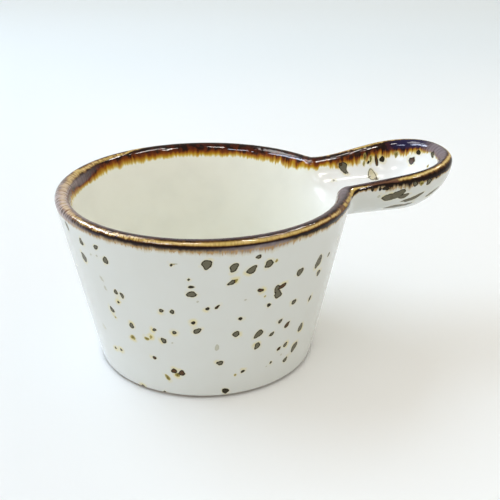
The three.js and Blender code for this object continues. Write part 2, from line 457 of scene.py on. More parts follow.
def camera_axes():
    """The camera's right, up and back directions from its azimuth, pitch and roll."""
    sin_a, cos_a = math.sin(CAMERA_AZIMUTH), math.cos(CAMERA_AZIMUTH)
    sin_p, cos_p = math.sin(CAMERA_PITCH), math.cos(CAMERA_PITCH)
    right = np.array([cos_a, -sin_a, 0])
    forward = np.array([sin_a * cos_p, cos_a * cos_p, -sin_p])
    up = np.cross(right, forward)
    sin_r, cos_r = math.sin(CAMERA_ROLL), math.cos(CAMERA_ROLL)
    return cos_r * right + sin_r * up, cos_r * up - sin_r * right, -forward


def add_camera():
    """Blender's camera at the photograph's viewpoint."""
    data = bpy.data.cameras.new("camera")
    data.sensor_width = SENSOR
    data.lens = FOCAL_PIXELS / IMAGE_PIXELS * SENSOR
    data.clip_start = NEAREST_SEEN
    camera = bpy.data.objects.new("camera", data)
    axes = np.eye(4)
    axes[:3, :3] = np.stack(camera_axes(), axis=1)
    axes[:3, 3] = CAMERA_PLACE * MM
    camera.matrix_world = Matrix(axes.tolist())
    bpy.context.scene.collection.objects.link(camera)
    bpy.context.scene.camera = camera


def project(points):
    """Pixels across and down at which points of the skin show: focal length times sideways over ahead."""
    right, up, back = camera_axes()
    ray = points + np.array([BOWL_X, 0, 0]) - CAMERA_PLACE
    ahead = -(ray @ back)
    across = IMAGE_PIXELS / 2 + FOCAL_PIXELS * (ray @ right) / ahead
    down = IMAGE_PIXELS / 2 - FOCAL_PIXELS * (ray @ up) / ahead
    return across, down


add_camera()
pixel_across, pixel_down = project(skin)
to_camera = CAMERA_PLACE - np.array([BOWL_X, 0, 0]) - skin
faces_camera = (to_camera * normals).sum(axis=-1) > 0
on_outside = crest_distance > 0
print("camera:", round(100 * faces_camera.mean()), "% of the skin faces it")

# %% [markdown]
# ## Iron specks
# Bits of iron in the clay melt up through the white glaze and leave flat grey-brown specks with a darker
# edge, some rusty, some amber. They could be scattered by a texture, but then none would sit where the
# real ones do. Each one here is a soft-cornered oval laid on the skin, read off the photograph: pixels
# across and down, then width and height on the dish in millimetres, and lean to the right in degrees.
# What is stored on the skin is how far each point is from the nearest speck's edge, so the material can
# draw a crisp, uneven edge at any scale.

# %% Specks read off the photograph
GREY, BLACK, RUSSET, AMBER, FAINT, PEBBLE = range(6)

OUTSIDE_SPECKS = {
    GREY: (
        (67.5, 226, 1.4, 2.8, -15), (81.5, 242, 1.6, 2.4, 0), (95, 247, 1.8, 1.4, -30),
        (84, 257, 2.2, 2.8, -20), (105.5, 261, 2.1, 2.2, -10), (116, 292, 1.3, 1.9, -10),
        (122, 296, 1.1, 2.1, -10), (112.5, 310, 1.4, 2.1, -30), (132, 325.5, 1.5, 1.9, 0),
        (161.5, 310, 1.3, 1.2, -30), (172, 312.5, 1.3, 1.5, 0), (154.5, 329.5, 1.3, 1, -15),
        (164, 340, 1.7, 1.8, -35), (174.5, 333, 1.2, 1.3, -35), (206.5, 265, 2.5, 3.1, 0),
        (191, 294.5, 2.6, 2, 0), (235, 267.5, 1.9, 3.2, 32), (252.5, 269.5, 2.1, 3, 58),
        (259.5, 257.5, 1.6, 1.3, 10), (269, 263.5, 2.2, 2.6, 48), (231, 283.4, 1.3, 2.2, 62),
        (293.5, 302.5, 1.6, 1.8, 42), (300, 271.5, 2.3, 2.4, 36), (318, 261.5, 2.4, 4.2, 18),
        (318.5, 272.5, 1.8, 1.9, 20), (235.5, 334, 2.1, 2, 20), (259, 333.5, 1.9, 3.4, 45),
        (258, 346, 1.8, 2.2, 25), (272, 334, 1.2, 1.8, 55), (280, 321, 1.2, 1.5, 50),
        (300, 327, 1.8, 2.9, 16), (285, 344.5, 1.4, 1.8, 24), (294, 346.5, 2.1, 3.4, 22),
        (285.5, 359.5, 1.5, 1.9, 26), (219.5, 363, 1.8, 1.7, 10), (196.5, 331.5, 1.6, 2.4, 52),
        (278.6, 294, 2.4, 2.6, 8), (277.6, 289.6, 1.7, 2.8, 14), (328.5, 254.5, 1.2, 1.5, 30),
    ),
    BLACK: (
        (171, 265, 0.8, 0.8, 0), (189.5, 280, 0.7, 0.7, 0), (192.5, 323, 1.2, 1.2, 15),
        (191.5, 287, 1.6, 0.9, 0), (143, 386, 1.3, 1.1, -20), (225, 390.5, 1.9, 2, 0),
        (242, 371, 1, 1.3, 48), (269.5, 305, 1.2, 1.2, 0), (310, 298.5, 0.9, 2.3, 18),
        (164.5, 392, 0.9, 0.9, 0), (116, 347.5, 1, 1.1, -20), (121, 350, 1, 1, -20),
        (240, 319, 1.3, 1, 0), (208, 309.5, 1.1, 1.2, 25), (118.5, 301.5, 0.9, 0.9, 0),
        (271, 362, 0.9, 0.9, 0),
    ),
    RUSSET: (
        (261, 289.5, 1.9, 1.2, 8), (287.5, 325, 1.4, 2.4, 42), (174, 370.5, 1.7, 1.9, -20),
        (182, 373, 1.9, 2, 0), (279, 349, 1.1, 1.7, 55), (217, 306.5, 0.9, 1.6, 42),
        (154, 357.5, 1.3, 1.2, -20), (282, 285.6, 1.3, 3, 68),
    ),
    AMBER: (
        (132.5, 337, 1.7, 1.6, -25), (146, 338.5, 1.5, 1.2, 0), (150.5, 337, 0.8, 1.2, 0),
        (167, 377, 1.2, 2.4, -28), (178, 375.5, 1.4, 1.5, 0),
        (236, 281, 1.1, 1.4, 30), (277.5, 261, 0.8, 1.1, 20), (115, 316.5, 0.7, 1.3, -30),
        (235, 374.5, 0.7, 0.8, 0), (265, 296, 0.6, 0.7, 0),
    ),
    FAINT: (
        (90.5, 255, 0.8, 0.7, 0), (96, 255.5, 0.8, 0.7, 0), (77, 265, 1.4, 0.8, 0),
        (102, 279.5, 0.8, 2.2, -30), (105.5, 288, 0.8, 2, -25), (104.5, 327, 1.1, 2.2, -40),
        (216, 348, 1.1, 2.4, 10), (334, 262, 1, 1.2, 30), (338, 239, 1.3, 2.6, 24),
        (266, 366.5, 0.5, 0.6, 0), (172.5, 343, 0.6, 0.6, 0), (281, 355, 0.5, 0.6, 0),
        (198, 302, 0.6, 0.6, 0), (245, 300, 0.8, 0.6, 0), (175.5, 264.5, 1.2, 0.5, 0),
    ),
}
HANDLE_OUTSIDE_SPECKS = {
    GREY: (
        (389.5, 198, 2.7, 4.8, 72), (397, 194, 2.8, 4.8, 54), (404, 195.6, 1.8, 3.4, 60),
        (407, 200, 1.2, 3.6, 70), (414, 198, 1.8, 6, 52), (395, 206, 2.6, 6.5, 82),
        (405, 204.4, 1.5, 4.4, 66),
        (415.7, 183.7, 1.6, 1.8, 0), (429, 181.5, 1.8, 2.1, 30), (431.7, 192.2, 1.6, 5, 50),
    ),
    BLACK: (
        (373.5, 189.2, 0.9, 1.4, 0), (386, 188.6, 2.2, 1.2, 0), (381, 189.4, 0.8, 1.3, 0),
    ),
    AMBER: (
        (421.6, 183.2, 1.4, 1.6, 0),
    ),
    FAINT: (
        (378.4, 197, 0.9, 1, 0),
    ),
}
TROUGH_SPECKS = {
    GREY: (
        (333.6, 180.3, 1, 1.2, -20), (432.3, 154.8, 1.9, 2.2, 30), (343.8, 168, 2.8, 3.4, -20),
        (345.8, 171, 1.6, 2.6, -40),
    ),
    BLACK: (
        (368.3, 162.3, 0.9, 1.2, 20), (418.4, 152.7, 1.6, 1.8, 0), (382.7, 159.8, 1.8, 2, 0),
        (376, 178.2, 1.3, 2.4, -25), (368.8, 177, 0.9, 0.9, 0),
    ),
    RUSSET: (
        (375.7, 159.5, 1.1, 4, 0), (411.5, 161.3, 2.4, 2.3, 20), (341, 165.5, 1.6, 2.4, -15),
    ),
    AMBER: (
        (364, 164.3, 0.8, 1.9, 15), (364.3, 156.5, 1.1, 2.4, 0), (370.5, 158, 0.9, 2.2, 0),
        (396.5, 155, 1.2, 2.2, 0), (428, 166, 0.9, 1.2, 0),
    ),
    PEBBLE: (
        (372.5, 175.8, 2.9, 4.2, 0),
    ),
}
READ_TABLES = (OUTSIDE_SPECKS, HANDLE_OUTSIDE_SPECKS, TROUGH_SPECKS)
print("specks read:", sum(len(rows) for kinds in READ_TABLES for rows in kinds.values()))

# %% [markdown]
# ## Laying a speck on the skin
# A speck is small and nearly flat, so it is measured in the plane that touches the skin at its middle. A
# plain ellipse would look stamped on. So a few waves run round its outline, each speck with waves of its
# own.

# %% Distance to one speck
SPECK_POWER = 1.7
SPECK_FAR = 6.0
SPECK_DEPTH = 2.5
AT_MIDDLE = 1e-6
OUTLINE_WAVES = ((2, 0.06), (3, 0.09), (5, 0.04))


def oval_reach(u, v, wide, tall, lean, phases):
    """How far points lie outside an uneven oval: reach - reach / q. Here q is the sum of (|across| / half
    width)^p and (|along| / half height)^p, to the power 1 / p, over 1 plus a few waves round the outline.
    Along is the oval's own height, turned by its lean."""
    turn = math.radians(lean)
    along = 2 * (v * math.cos(turn) + u * math.sin(turn)) / tall
    across = 2 * (u * math.cos(turn) - v * math.sin(turn)) / wide
    way = np.arctan2(along, across)
    waves = sum(size * np.cos(count * way + phase) for (count, size), phase in zip(OUTLINE_WAVES, phases))
    q = (np.abs(across) ** SPECK_POWER + np.abs(along) ** SPECK_POWER) ** (1 / SPECK_POWER) / (1 + waves)
    reach = np.hypot(u, v)
    return np.where(q > AT_MIDDLE, reach - reach / np.maximum(q, AT_MIDDLE), -min(wide, tall) / 2)


def skin_place(across, down, side):
    """Column and row of the skin point that shows nearest a pixel, on that side and facing the camera."""
    away = np.hypot(pixel_across - across, pixel_down - down)
    return np.unravel_index(np.where(faces_camera & side, away, np.inf).argmin(), away.shape)


def speck_reach(place, wide, tall, lean, phases):
    """How far every skin point lies outside one speck, measured in the skin's own plane at its middle."""
    facing = normals[place]
    level = unit(np.cross([0, 0, 1], facing))
    away = skin - skin[place]
    reach = oval_reach(away @ level, away @ np.cross(facing, level), wide, tall, lean, phases)
    same_wall = (on_outside == on_outside[place]) & (np.abs(away @ facing) < SPECK_DEPTH)
    return np.where(same_wall, reach, SPECK_FAR)


print("a speck's outline swells by up to", round(100 * sum(size for _, size in OUTLINE_WAVES)), "%")

# %% [markdown]
# ## Specks on the sides that the photograph doesn't show
# The far side gets specks of the same kinds, sizes and spacing. They could be copies of the near side's,
# but the eye soon finds what repeats. They are drawn from a seeded generator instead, so that every run
# of the script gives the same dish.

# %% All specks
HIDDEN_SEED = 31
HIDDEN_COUNT = 96
HIDDEN_SHARES = (0.5, 0.16, 0.12, 0.12, 0.1, 0.0)
SPECK_SMALLEST = 0.6
SPECK_LARGEST = 3.0
WIDTH_LOG_MEAN = 0.2
WIDTH_LOG_SPREAD = 0.42
TALLER_LEAST = 0.8
TALLER_MOST = 1.7
MOST_LEAN = 50
BELOW_FRINGE = 5.0


def read_specks():
    """The specks of the photograph as (place, width, height, lean, kind)."""
    sides = (on_outside, on_outside, ~on_outside)
    return [
        (skin_place(across, down, side), wide, tall, lean, kind)
        for kinds, side in zip(READ_TABLES, sides)
        for kind, rows in kinds.items()
        for across, down, wide, tall, lean in rows
    ]


def hidden_specks():
    """Seeded specks where the camera can't see: places in proportion to the skin's area, mostly small."""
    draw = np.random.RandomState(HIDDEN_SEED)
    cell = np.linalg.norm(np.cross(loop_difference(skin), np.gradient(skin, axis=1)), axis=-1)
    chance = np.where(~faces_camera & (crest_distance > BELOW_FRINGE), cell, 0).ravel()
    picks = draw.choice(chance.size, HIDDEN_COUNT, replace=False, p=chance / chance.sum())
    wide = np.exp(draw.normal(WIDTH_LOG_MEAN, WIDTH_LOG_SPREAD, HIDDEN_COUNT))
    wide = np.clip(wide, SPECK_SMALLEST, SPECK_LARGEST)
    tall = wide * draw.uniform(TALLER_LEAST, TALLER_MOST, HIDDEN_COUNT)
    tall = np.clip(tall, SPECK_SMALLEST, SPECK_LARGEST)
    lean = draw.uniform(-MOST_LEAN, MOST_LEAN, HIDDEN_COUNT)
    kinds = draw.choice(len(HIDDEN_SHARES), HIDDEN_COUNT, p=HIDDEN_SHARES)
    places = zip(*np.unravel_index(picks, crest_distance.shape))
    return list(zip(places, wide, tall, lean, kinds))


speck_distance = np.full(crest_distance.shape, SPECK_FAR)
speck_kind = np.zeros(crest_distance.shape)
specks = read_specks() + hidden_specks()
draw = np.random.RandomState(HIDDEN_SEED)
outline_phases = draw.uniform(0, 2 * np.pi, (len(specks), len(OUTLINE_WAVES)))
for (place, wide, tall, lean, kind), phases in zip(specks, outline_phases):
    reach = speck_reach(place, wide, tall, lean, phases)
    speck_kind = np.where(reach < speck_distance, kind, speck_kind)
    speck_distance = np.minimum(reach, speck_distance)
covered = round(100 * (speck_distance < 0).mean(), 1)
print("specks:", len(specks), "in all, over", covered, "% of the skin's points")

# %% [markdown]
# ## How far the brown runs
# The brown glaze is brushed on the rim and melts down both walls. It runs further where it was thicker,
# and it breaks to gold in a line that wanders across the rim. The ends of the brown, the middle of the
# gold and its half width were read off the photograph at a few directions round the bowl. So were the
# places where lilac and pale reflections of the bright room are painted on the brown, where the window's
# blue reflection is painted navy in the trough, and where the gold is tarnished. They could be painted
# on by hand, but a few numbers are easier to correct.

# %% Reach of the brown, in millimetres, by direction in degrees from the handle
OUTSIDE_REACH = (
    (-180, 3.9), (-150, 4.1), (-130, 4.5), (-110, 4.7), (-100, 5.1), (-92, 5.6), (-80, 5.9), (-74, 5.2),
    (-65, 4.9), (-50, 4.8), (-30, 4.0), (-24, 3.6), (-20, 2.8), (-17, 5.0), (-14, 4.1), (-10, 4.1),
    (0, 4.0), (10, 3.8), (16, 4.6), (22, 3.4), (50, 4.0), (85, 4.9), (120, 4.2), (150, 4.6), (180, 3.9),
)
INSIDE_REACH = (
    (-180, 5.6), (-140, 5.4), (-100, 5.6), (-60, 5.2), (-25, 3.6), (-12, 4.2), (-5, 3.4), (1, 3.4),
    (6, 4.6), (10, 6.0), (13, 5.2), (15.5, 6.4), (17, 5.9), (19, 5.2), (21, 4.5), (30, 5.2), (45, 5.1),
    (60, 4.9), (75, 5.3), (90, 5.0), (106, 5.1), (120, 5.0), (135, 5.5), (150, 6.0), (180, 5.6),
)
GOLD_MIDDLE = (
    (-180, -0.6), (-165, 0.3), (-150, 1.1), (-130, 1.35), (-110, 1.55), (-95, 1.7), (-80, 1.8),
    (-50, 1.6), (-34, 1.6), (-24, 1.9), (-21.5, 1.3), (-18, 1.1), (-17, 1.3), (-14, 0.85), (-10, 0.8),
    (-5, 1.4), (0, 1.3), (5, 1.1), (10, 0.6), (14, 0.2), (17, -0.3), (21, 0.7), (30, 0.9), (60, 1.2),
    (90, 1.2), (104, 0.8), (118, -0.9), (135, -0.9), (150, -0.8), (165, -1.0), (180, -0.6),
)
GOLD_HALF = (
    (-180, 1.0), (-150, 0.6), (-130, 0.5), (-110, 0.45), (-95, 0.6), (-80, 0.55), (-52, 0.45),
    (-36, 0.72), (-24, 0.7), (-21.5, 0.4), (-20.6, 0.2), (-19.6, 0.04), (-18.2, 0.04), (-17.5, 0.5),
    (-14, 0.52), (-10, 0.55), (0, 0.4), (10, 0.4), (14, 0.6), (17, 0.6), (21, 0.4), (100, 0.4),
    (120, 0.5), (135, 0.65), (150, 0.8), (165, 0.9), (180, 1.0),
)
OUTSIDE_BLACK = (
    (-180, 1.9), (-150, 2.5), (-130, 2.7), (-110, 2.9), (-95, 2.95), (-80, 3.0), (-65, 3.1), (-50, 3.4),
    (-30, 3.2), (-24, 3.0), (-20, 2.1), (-18.6, 1.9), (-17.4, 2.9), (-14, 3.1), (-10, 3.4), (-5, 3.1),
    (0, 2.9), (10, 2.6), (16, 3.0), (22, 2.4), (50, 2.8), (85, 3.0), (120, 2.8), (150, 2.6), (180, 1.9),
)
INSIDE_BLACK = (
    (-180, 2.3), (-150, 2.2), (-30, 2.2), (-20, 2.0), (0, 1.8), (6, 2.2), (10, 2.7), (14, 2.9), (18, 2.3),
    (22, 2.0), (40, 2.3), (60, 2.5), (90, 2.5), (108, 2.3), (116, 1.9), (132, 2.1), (140, 3.1),
    (146, 4.2), (153, 4.3), (159, 3.5), (166, 2.6), (180, 2.3),
)
# Painted reflection: how much lilac sheen of the bright room is painted on the brown outside
LILAC_REFLECTION_OUTSIDE = (
    (-180, 1.0), (-165, 0.9), (-150, 0.4), (-130, 0.1), (-104, 0.1), (-92, 0.6), (-84, 0.9), (-75, 0.9),
    (-70, 0.0), (-20, 0.0), (0, 0.2), (20, 0.0), (90, 0.3), (150, 0.4), (165, 0.9), (180, 1.0),
)
# Painted reflection: how far from the crest the lilac sheen is painted inside
LILAC_REFLECTION_REACH = (
    (-180, 2.8), (-45, 2.8), (-30, 4.4), (-20, 4.4), (-9, 4.8), (4, 4.8), (9, 2.8), (180, 2.8),
)
# Painted reflection: how pale the rim is painted where it turns edge-on to the bright room
PALE_REFLECTION_BY_DIRECTION = (
    (-180, 1.0), (-170, 0.85), (-158, 0.4), (-146, 0.0), (148, 0.0), (160, 0.3), (170, 0.75), (180, 1.0),
)
# Painted reflection: how much lilac sheen of the bright room is painted on the brown inside
LILAC_REFLECTION_INSIDE = (
    (-180, 0.9), (-150, 0.7), (-130, 0.5), (-60, 0.35), (-36, 0.3), (-29, 0.6), (-23, 0.9), (-19, 0.3),
    (-15, 0.2), (-10, 0.6), (-5, 1.0), (1, 1.0), (4, 0.4), (6, 0.0), (12, 0.0), (134, 0.0), (142, 0.4),
    (149, 0.75), (156, 0.9), (180, 0.9),
)
TARNISH = (
    (-180, 0.0), (-64, 0.0), (-52, 0.42), (-38, 0.55), (-28, 0.5), (-24, 0.2), (-22, 0.0), (-20.4, 0.0),
    (-19.5, 0.6), (-19, 1.0), (-18.0, 1.0), (-17.3, 0.3), (-16.5, 0.0), (180, 0.0),
)
# Painted reflection: how much navy stands in for the window's blue reflection in the trough
NAVY_REFLECTION_BY_DIRECTION = (
    (-180, 0.0), (2.5, 0.0), (5, 0.85), (8, 0.95), (11.5, 0.95), (13.5, 0.6), (15, 0.0), (180, 0.0),
)
print("read at", len(OUTSIDE_REACH), "directions outside and", len(INSIDE_REACH), "inside")

# %% [markdown]
# ## One scale for the whole rim
# The bands of gold, black and amber are wide in one place and narrow in the next. The colours could be
# given anew for each direction, but it is easier to stretch one scale: each point of the skin gets its
# place between the reaches that were read, and the same colours then serve all round.

# %% Place on the scale of colours
OUTSIDE_END = 4.0
BLACK_END = 1.75
INNER_BLACK_END = -2.6
INSIDE_END = -5.6
GOLD_EDGE = 0.6


def by_direction(rows):
    """A value for every column's direction, between the directions that were read."""
    directions, values = np.array(rows).T
    return np.interp(np.degrees(angles), directions, values)[:, None]


def band_place(crest):
    """Each point's place on the scale, in straight lines between the marks: -5.6 at the brown's inner end,
    -2.6 where the inner black ends, -0.6 and 0.6 at the gold's edges, 1.75 where the outer black ends and
    4 at the outer end."""
    middle, half = by_direction(GOLD_MIDDLE), by_direction(GOLD_HALF)
    low, high = middle - half, middle + half
    black, reach = by_direction(OUTSIDE_BLACK), by_direction(OUTSIDE_REACH)
    inner_black, inner_reach = -by_direction(INSIDE_BLACK), -by_direction(INSIDE_REACH)
    on_gold = np.clip((crest - middle) / half, -1, 1) * GOLD_EDGE
    on_black = np.clip((crest - high) / (black - high), 0, 1) * (BLACK_END - GOLD_EDGE)
    on_fringe = np.maximum((crest - black) / (reach - black), 0) * (OUTSIDE_END - BLACK_END)
    in_black = np.clip((crest - low) / (inner_black - low), 0, 1) * (INNER_BLACK_END + GOLD_EDGE)
    past_black = np.maximum((crest - inner_black) / (inner_reach - inner_black), 0)
    in_fringe = past_black * (INSIDE_END - INNER_BLACK_END)
    return on_gold + on_black + on_fringe + in_black + in_fringe


rim_band = band_place(crest_distance)
print("brown: scale runs from", round(rim_band.min(), 1), "to", round(rim_band.max(), 1))

# %% [markdown]
# ## Marks on the skin
# Each kind of change in the brown has a share at every point. A painted picture could hold these shares,
# but it would need the skin unwrapped. So they are attributes of the mesh, one value at each point, and
# the material reads them. One more attribute is the place along the rim's loop, bent into a circle, so
# that noise laid along it meets itself without a seam.

# %% Marks that the materials read
# Where the painted lilac, pale and navy reflections rise and fall on the scale
LILAC_REFLECTION_RISE = (1.2, 2.0)
LILAC_REFLECTION_FALL = (2.6, 3.6)
INNER_LILAC_SHEEN_RISE = (0.7, 1.4)
INNER_LILAC_SHEEN_SOFTNESS = 0.6
PALE_REFLECTION_RISE = (-2.6, -1.4)
PALE_REFLECTION_FALL = (2.4, 3.6)
NAVY_REFLECTION_RISE = (0.6, 1.1)
NAVY_REFLECTION_FALL = (2.6, 3.8)


def between(band, rise, fall):
    """1 between the two soft steps, 0 before the first and after the second."""
    return smooth_step(band, *rise) * (1 - smooth_step(band, *fall))


def share_of_lilac_reflection(band):
    """How much painted lilac reflection of the bright room lies on the brown: the share read for its side
    of the gold, most of it midway to its end.
    """
    reach = by_direction(LILAC_REFLECTION_REACH)
    inner_fall = (reach - INNER_LILAC_SHEEN_SOFTNESS, reach + INNER_LILAC_SHEEN_SOFTNESS)
    outside = between(band, LILAC_REFLECTION_RISE, LILAC_REFLECTION_FALL) * by_direction(LILAC_REFLECTION_OUTSIDE)
    return outside + between(-band, INNER_LILAC_SHEEN_RISE, inner_fall) * by_direction(LILAC_REFLECTION_INSIDE)


def share_of_pale_reflection(band):
    """How pale the rim is painted, as a reflection of the bright room where it turns edge-on: the share
    read for its direction, from inside the crest to the fringe.
    """
    return between(band, PALE_REFLECTION_RISE, PALE_REFLECTION_FALL) * by_direction(PALE_REFLECTION_BY_DIRECTION)


def share_of_navy_reflection(band):
    """How much navy, painted as the window's blue reflection, lies on the inner side of the gold."""
    return between(-band, NAVY_REFLECTION_RISE, NAVY_REFLECTION_FALL) * by_direction(NAVY_REFLECTION_BY_DIRECTION)


loop_turn = rim_run / rim_run[-1] * 2 * np.pi
loop_radius = rim_run[-1] / (2 * np.pi)
loop_place = np.stack([np.cos(loop_turn), np.sin(loop_turn)], axis=1) * loop_radius
rim_loop = np.concatenate([
    np.broadcast_to(loop_place[:, None, :], (*crest_distance.shape, 2)),
    crest_distance[..., None],
], axis=-1)
skin_marks = {
    "band": rim_band,
    "loop": rim_loop,
    # The next three marks are shares of painted reflection: lilac sheen, pale edge-on sheen, navy in the
    # trough
    "lilac_sheen": share_of_lilac_reflection(rim_band),
    "edge_sheen": share_of_pale_reflection(rim_band),
    "navy_sheen": share_of_navy_reflection(rim_band),
    "tarnish": np.broadcast_to(by_direction(TARNISH), rim_band.shape),
    "speck": speck_distance,
    "speck_kind": speck_kind,
}
print("marks:", ", ".join(skin_marks))

# %% [markdown]
# ## Meshes from arrays
# A mesh is lists: points, the corners of each face, and where each face starts. They could be handed over
# face by face, but whole arrays go in at once, which is far quicker for a skin this fine.

# %% Faces and meshes
NO_TRIANGLES = np.zeros((0, 3), int)


def grid_faces(columns, rows, closes):
    """Corner numbers of a grid's quads. It wraps round its columns, and round its rows if it closes."""
    column = np.arange(columns)[:, None]
    row = np.arange(rows if closes else rows - 1)[None, :]
    ahead, above = (column + 1) % columns, (row + 1) % rows
    corners = (column * rows + row, ahead * rows + row, ahead * rows + above, column * rows + above)
    return np.stack(np.broadcast_arrays(*corners), axis=-1).reshape(-1, 4)


def pole_faces(columns, rows):
    """Triangles from a grid's last row to the pole that follows the grid's points, and from its first row
    to the next pole."""
    here = np.arange(columns) * rows
    ahead = np.roll(here, -1)
    last = rows - 1
    top = np.full(columns, columns * rows)
    return np.concatenate([
        np.stack([here + last, ahead + last, top], axis=1),
        np.stack([ahead, here, top + 1], axis=1),
    ])


def add_mesh(name, points, facing, marks, quads, triangles):
    """A mesh object in metres, in the part's frame, shaded by the given normals, with a named attribute
    for each of the marks that its material reads."""
    placed = (points + np.array([BOWL_X, 0, 0])) * MM
    corners = np.concatenate([quads.ravel(), triangles.ravel()])
    sizes = np.concatenate([np.full(len(quads), 4), np.full(len(triangles), 3)])
    starts = np.concatenate([[0], np.cumsum(sizes)[:-1]])
    mesh = bpy.data.meshes.new(name)
    mesh.vertices.add(len(placed))
    mesh.vertices.foreach_set("co", placed.astype(np.float32).ravel())
    mesh.loops.add(len(corners))
    mesh.loops.foreach_set("vertex_index", corners.astype(np.int32))
    mesh.polygons.add(len(sizes))
    mesh.polygons.foreach_set("loop_start", starts.astype(np.int32))
    mesh.update(calc_edges=True)
    mesh.validate()
    mesh.polygons.foreach_set("use_smooth", np.ones(len(sizes), bool))
    mesh.normals_split_custom_set_from_vertices(facing.astype(np.float32))
    for mark, values in marks.items():
        kind, field = ("FLOAT_VECTOR", "vector") if values.ndim == 2 else ("FLOAT", "value")
        attribute = mesh.attributes.new(mark, kind, "POINT")
        attribute.data.foreach_set(field, values.astype(np.float32).ravel())
    piece = bpy.data.objects.new(name, mesh)
    bpy.context.scene.collection.objects.link(piece)
    print(name, len(quads) * 2 + len(triangles), "triangles")
    return piece


print("between two rows of the skin:", len(grid_faces(COLUMNS, 2, False)), "quads")

# %% [markdown]
# ## From skin to closed coats
# A glaze is a coat of glass with a thickness. Each coat takes its rows of the skin as its outer face and
# the same rows sunk by the glaze's thickness as its inner face, and the two are closed at their borders.
# A modifier could thicken a sheet, but it would turn each coat's edge by itself. Here neighbouring coats
# share border points and normals, so no joint shows.

# %% The three coats of the skin
INNER_EVERY = 3


def flat_list(grid, *poles):
    """A grid's values as one list of points, followed by the values at its poles."""
    values = grid.reshape(-1, *grid.shape[2:])
    return np.concatenate([values, np.array(poles)]) if poles else values


def sunk_rows(rows):
    """Every few rows of the skin, first and last among them, to be sunk as a coat's inner face."""
    return np.unique(np.append(np.arange(rows.start, rows.stop, INNER_EVERY), rows.stop - 1))[::-1]


def ring_coat(name, rows):
    """A coat that runs round the dish as a closed band."""
    back = sunk_rows(rows)
    points = np.concatenate([skin[:, rows], skin[:, back] - GLAZE * normals[:, back]], axis=1)
    facing = np.concatenate([normals[:, rows], -normals[:, back]], axis=1)
    marks = {mark: flat_list(grid[:, [*rows, *back]]) for mark, grid in skin_marks.items()}
    quads = grid_faces(COLUMNS, points.shape[1], True)
    return add_mesh(name, flat_list(points), flat_list(facing), marks, quads, NO_TRIANGLES)


def bowl_coat(name, rows):
    """A coat that closes over the middle of the floor, with one pole on each face."""
    back = sunk_rows(rows)
    sunk = skin[:, back] - GLAZE * normals[:, back]
    points = np.concatenate([sunk, skin[:, rows]], axis=1)
    facing = np.concatenate([-normals[:, back], normals[:, rows]], axis=1)
    marks = {}
    for mark, grid in skin_marks.items():
        pole = grid[:, -1].mean(axis=0)
        marks[mark] = flat_list(grid[:, [*back, *rows]], pole, pole)
    points = flat_list(points, (0, 0, FLOOR_Z), (0, 0, FLOOR_Z - GLAZE))
    facing = flat_list(facing, (0, 0, 1), (0, 0, -1))
    across = len(back) + len(rows)
    quads, triangles = grid_faces(COLUMNS, across, False), pole_faces(COLUMNS, across)
    return add_mesh(name, points, facing, marks, quads, triangles)


outside_coat = ring_coat("outside_coat", range(0, FIRST_RIM_ROW + 1))
rim_coat = ring_coat("rim_coat", range(FIRST_RIM_ROW, LAST_RIM_ROW + 1))
inside_coat = bowl_coat("inside_coat", range(LAST_RIM_ROW, skin.shape[1]))

# %% [markdown]
# ## The coat under the base
# Inside the standing ring the base is glazed too, but the ring itself is wiped bare, or the dish would
# fuse to the kiln shelf. A plain disc would do from afar, but melted glaze draws itself into a rolled
# edge. So the coat is turned: a short profile, with that edge, is carried round the bowl's axis.

# %% Base coat
BASE_COLUMNS = 240
BASE_ROWS = 40
EDGE_ROWS = 8
BASE_SPECKS = 16
BASE_SEED = 5
BASE_POLE = 0.3
BASE_WIDE = (0.7, 2.4)
BASE_TALL = (0.8, 2.6)
BASE_LEAN = (-90, 90)
FULL_TURN = (0, 2 * np.pi)


def base_profile(radius, low, high):
    """Radius and height from the middle of the underside, out, round the edge and back over the top."""
    half = (high - low) / 2
    turn = np.linspace(-np.pi / 2, np.pi / 2, 2 * EDGE_ROWS + 1)
    out = np.linspace(BASE_POLE, radius - half, BASE_ROWS, endpoint=False)
    under, over = np.full(BASE_ROWS, low), np.full(BASE_ROWS, high)
    run = np.concatenate([out, radius - half + half * np.cos(turn), out[::-1]])
    rise = np.concatenate([under, low + half + half * np.sin(turn), over])
    return run, rise


def base_speck_marks(x, y, radius):
    """The distance to the nearest of a few seeded specks under the base, and its kind."""
    draw = np.random.RandomState(BASE_SEED)
    nearest, kinds = np.full(x.shape, SPECK_FAR), np.zeros(x.shape)
    for _ in range(BASE_SPECKS):
        way, out = draw.uniform(*FULL_TURN), radius * math.sqrt(draw.uniform(0, 1))
        wide, tall, lean = draw.uniform(*BASE_WIDE), draw.uniform(*BASE_TALL), draw.uniform(*BASE_LEAN)
        kind = draw.choice(len(HIDDEN_SHARES), p=HIDDEN_SHARES)
        phases = draw.uniform(*FULL_TURN, len(OUTLINE_WAVES))
        reach = oval_reach(x - out * math.cos(way), y - out * math.sin(way), wide, tall, lean, phases)
        kinds = np.where(reach < nearest, kind, kinds)
        nearest = np.minimum(nearest, reach)
    return nearest, kinds


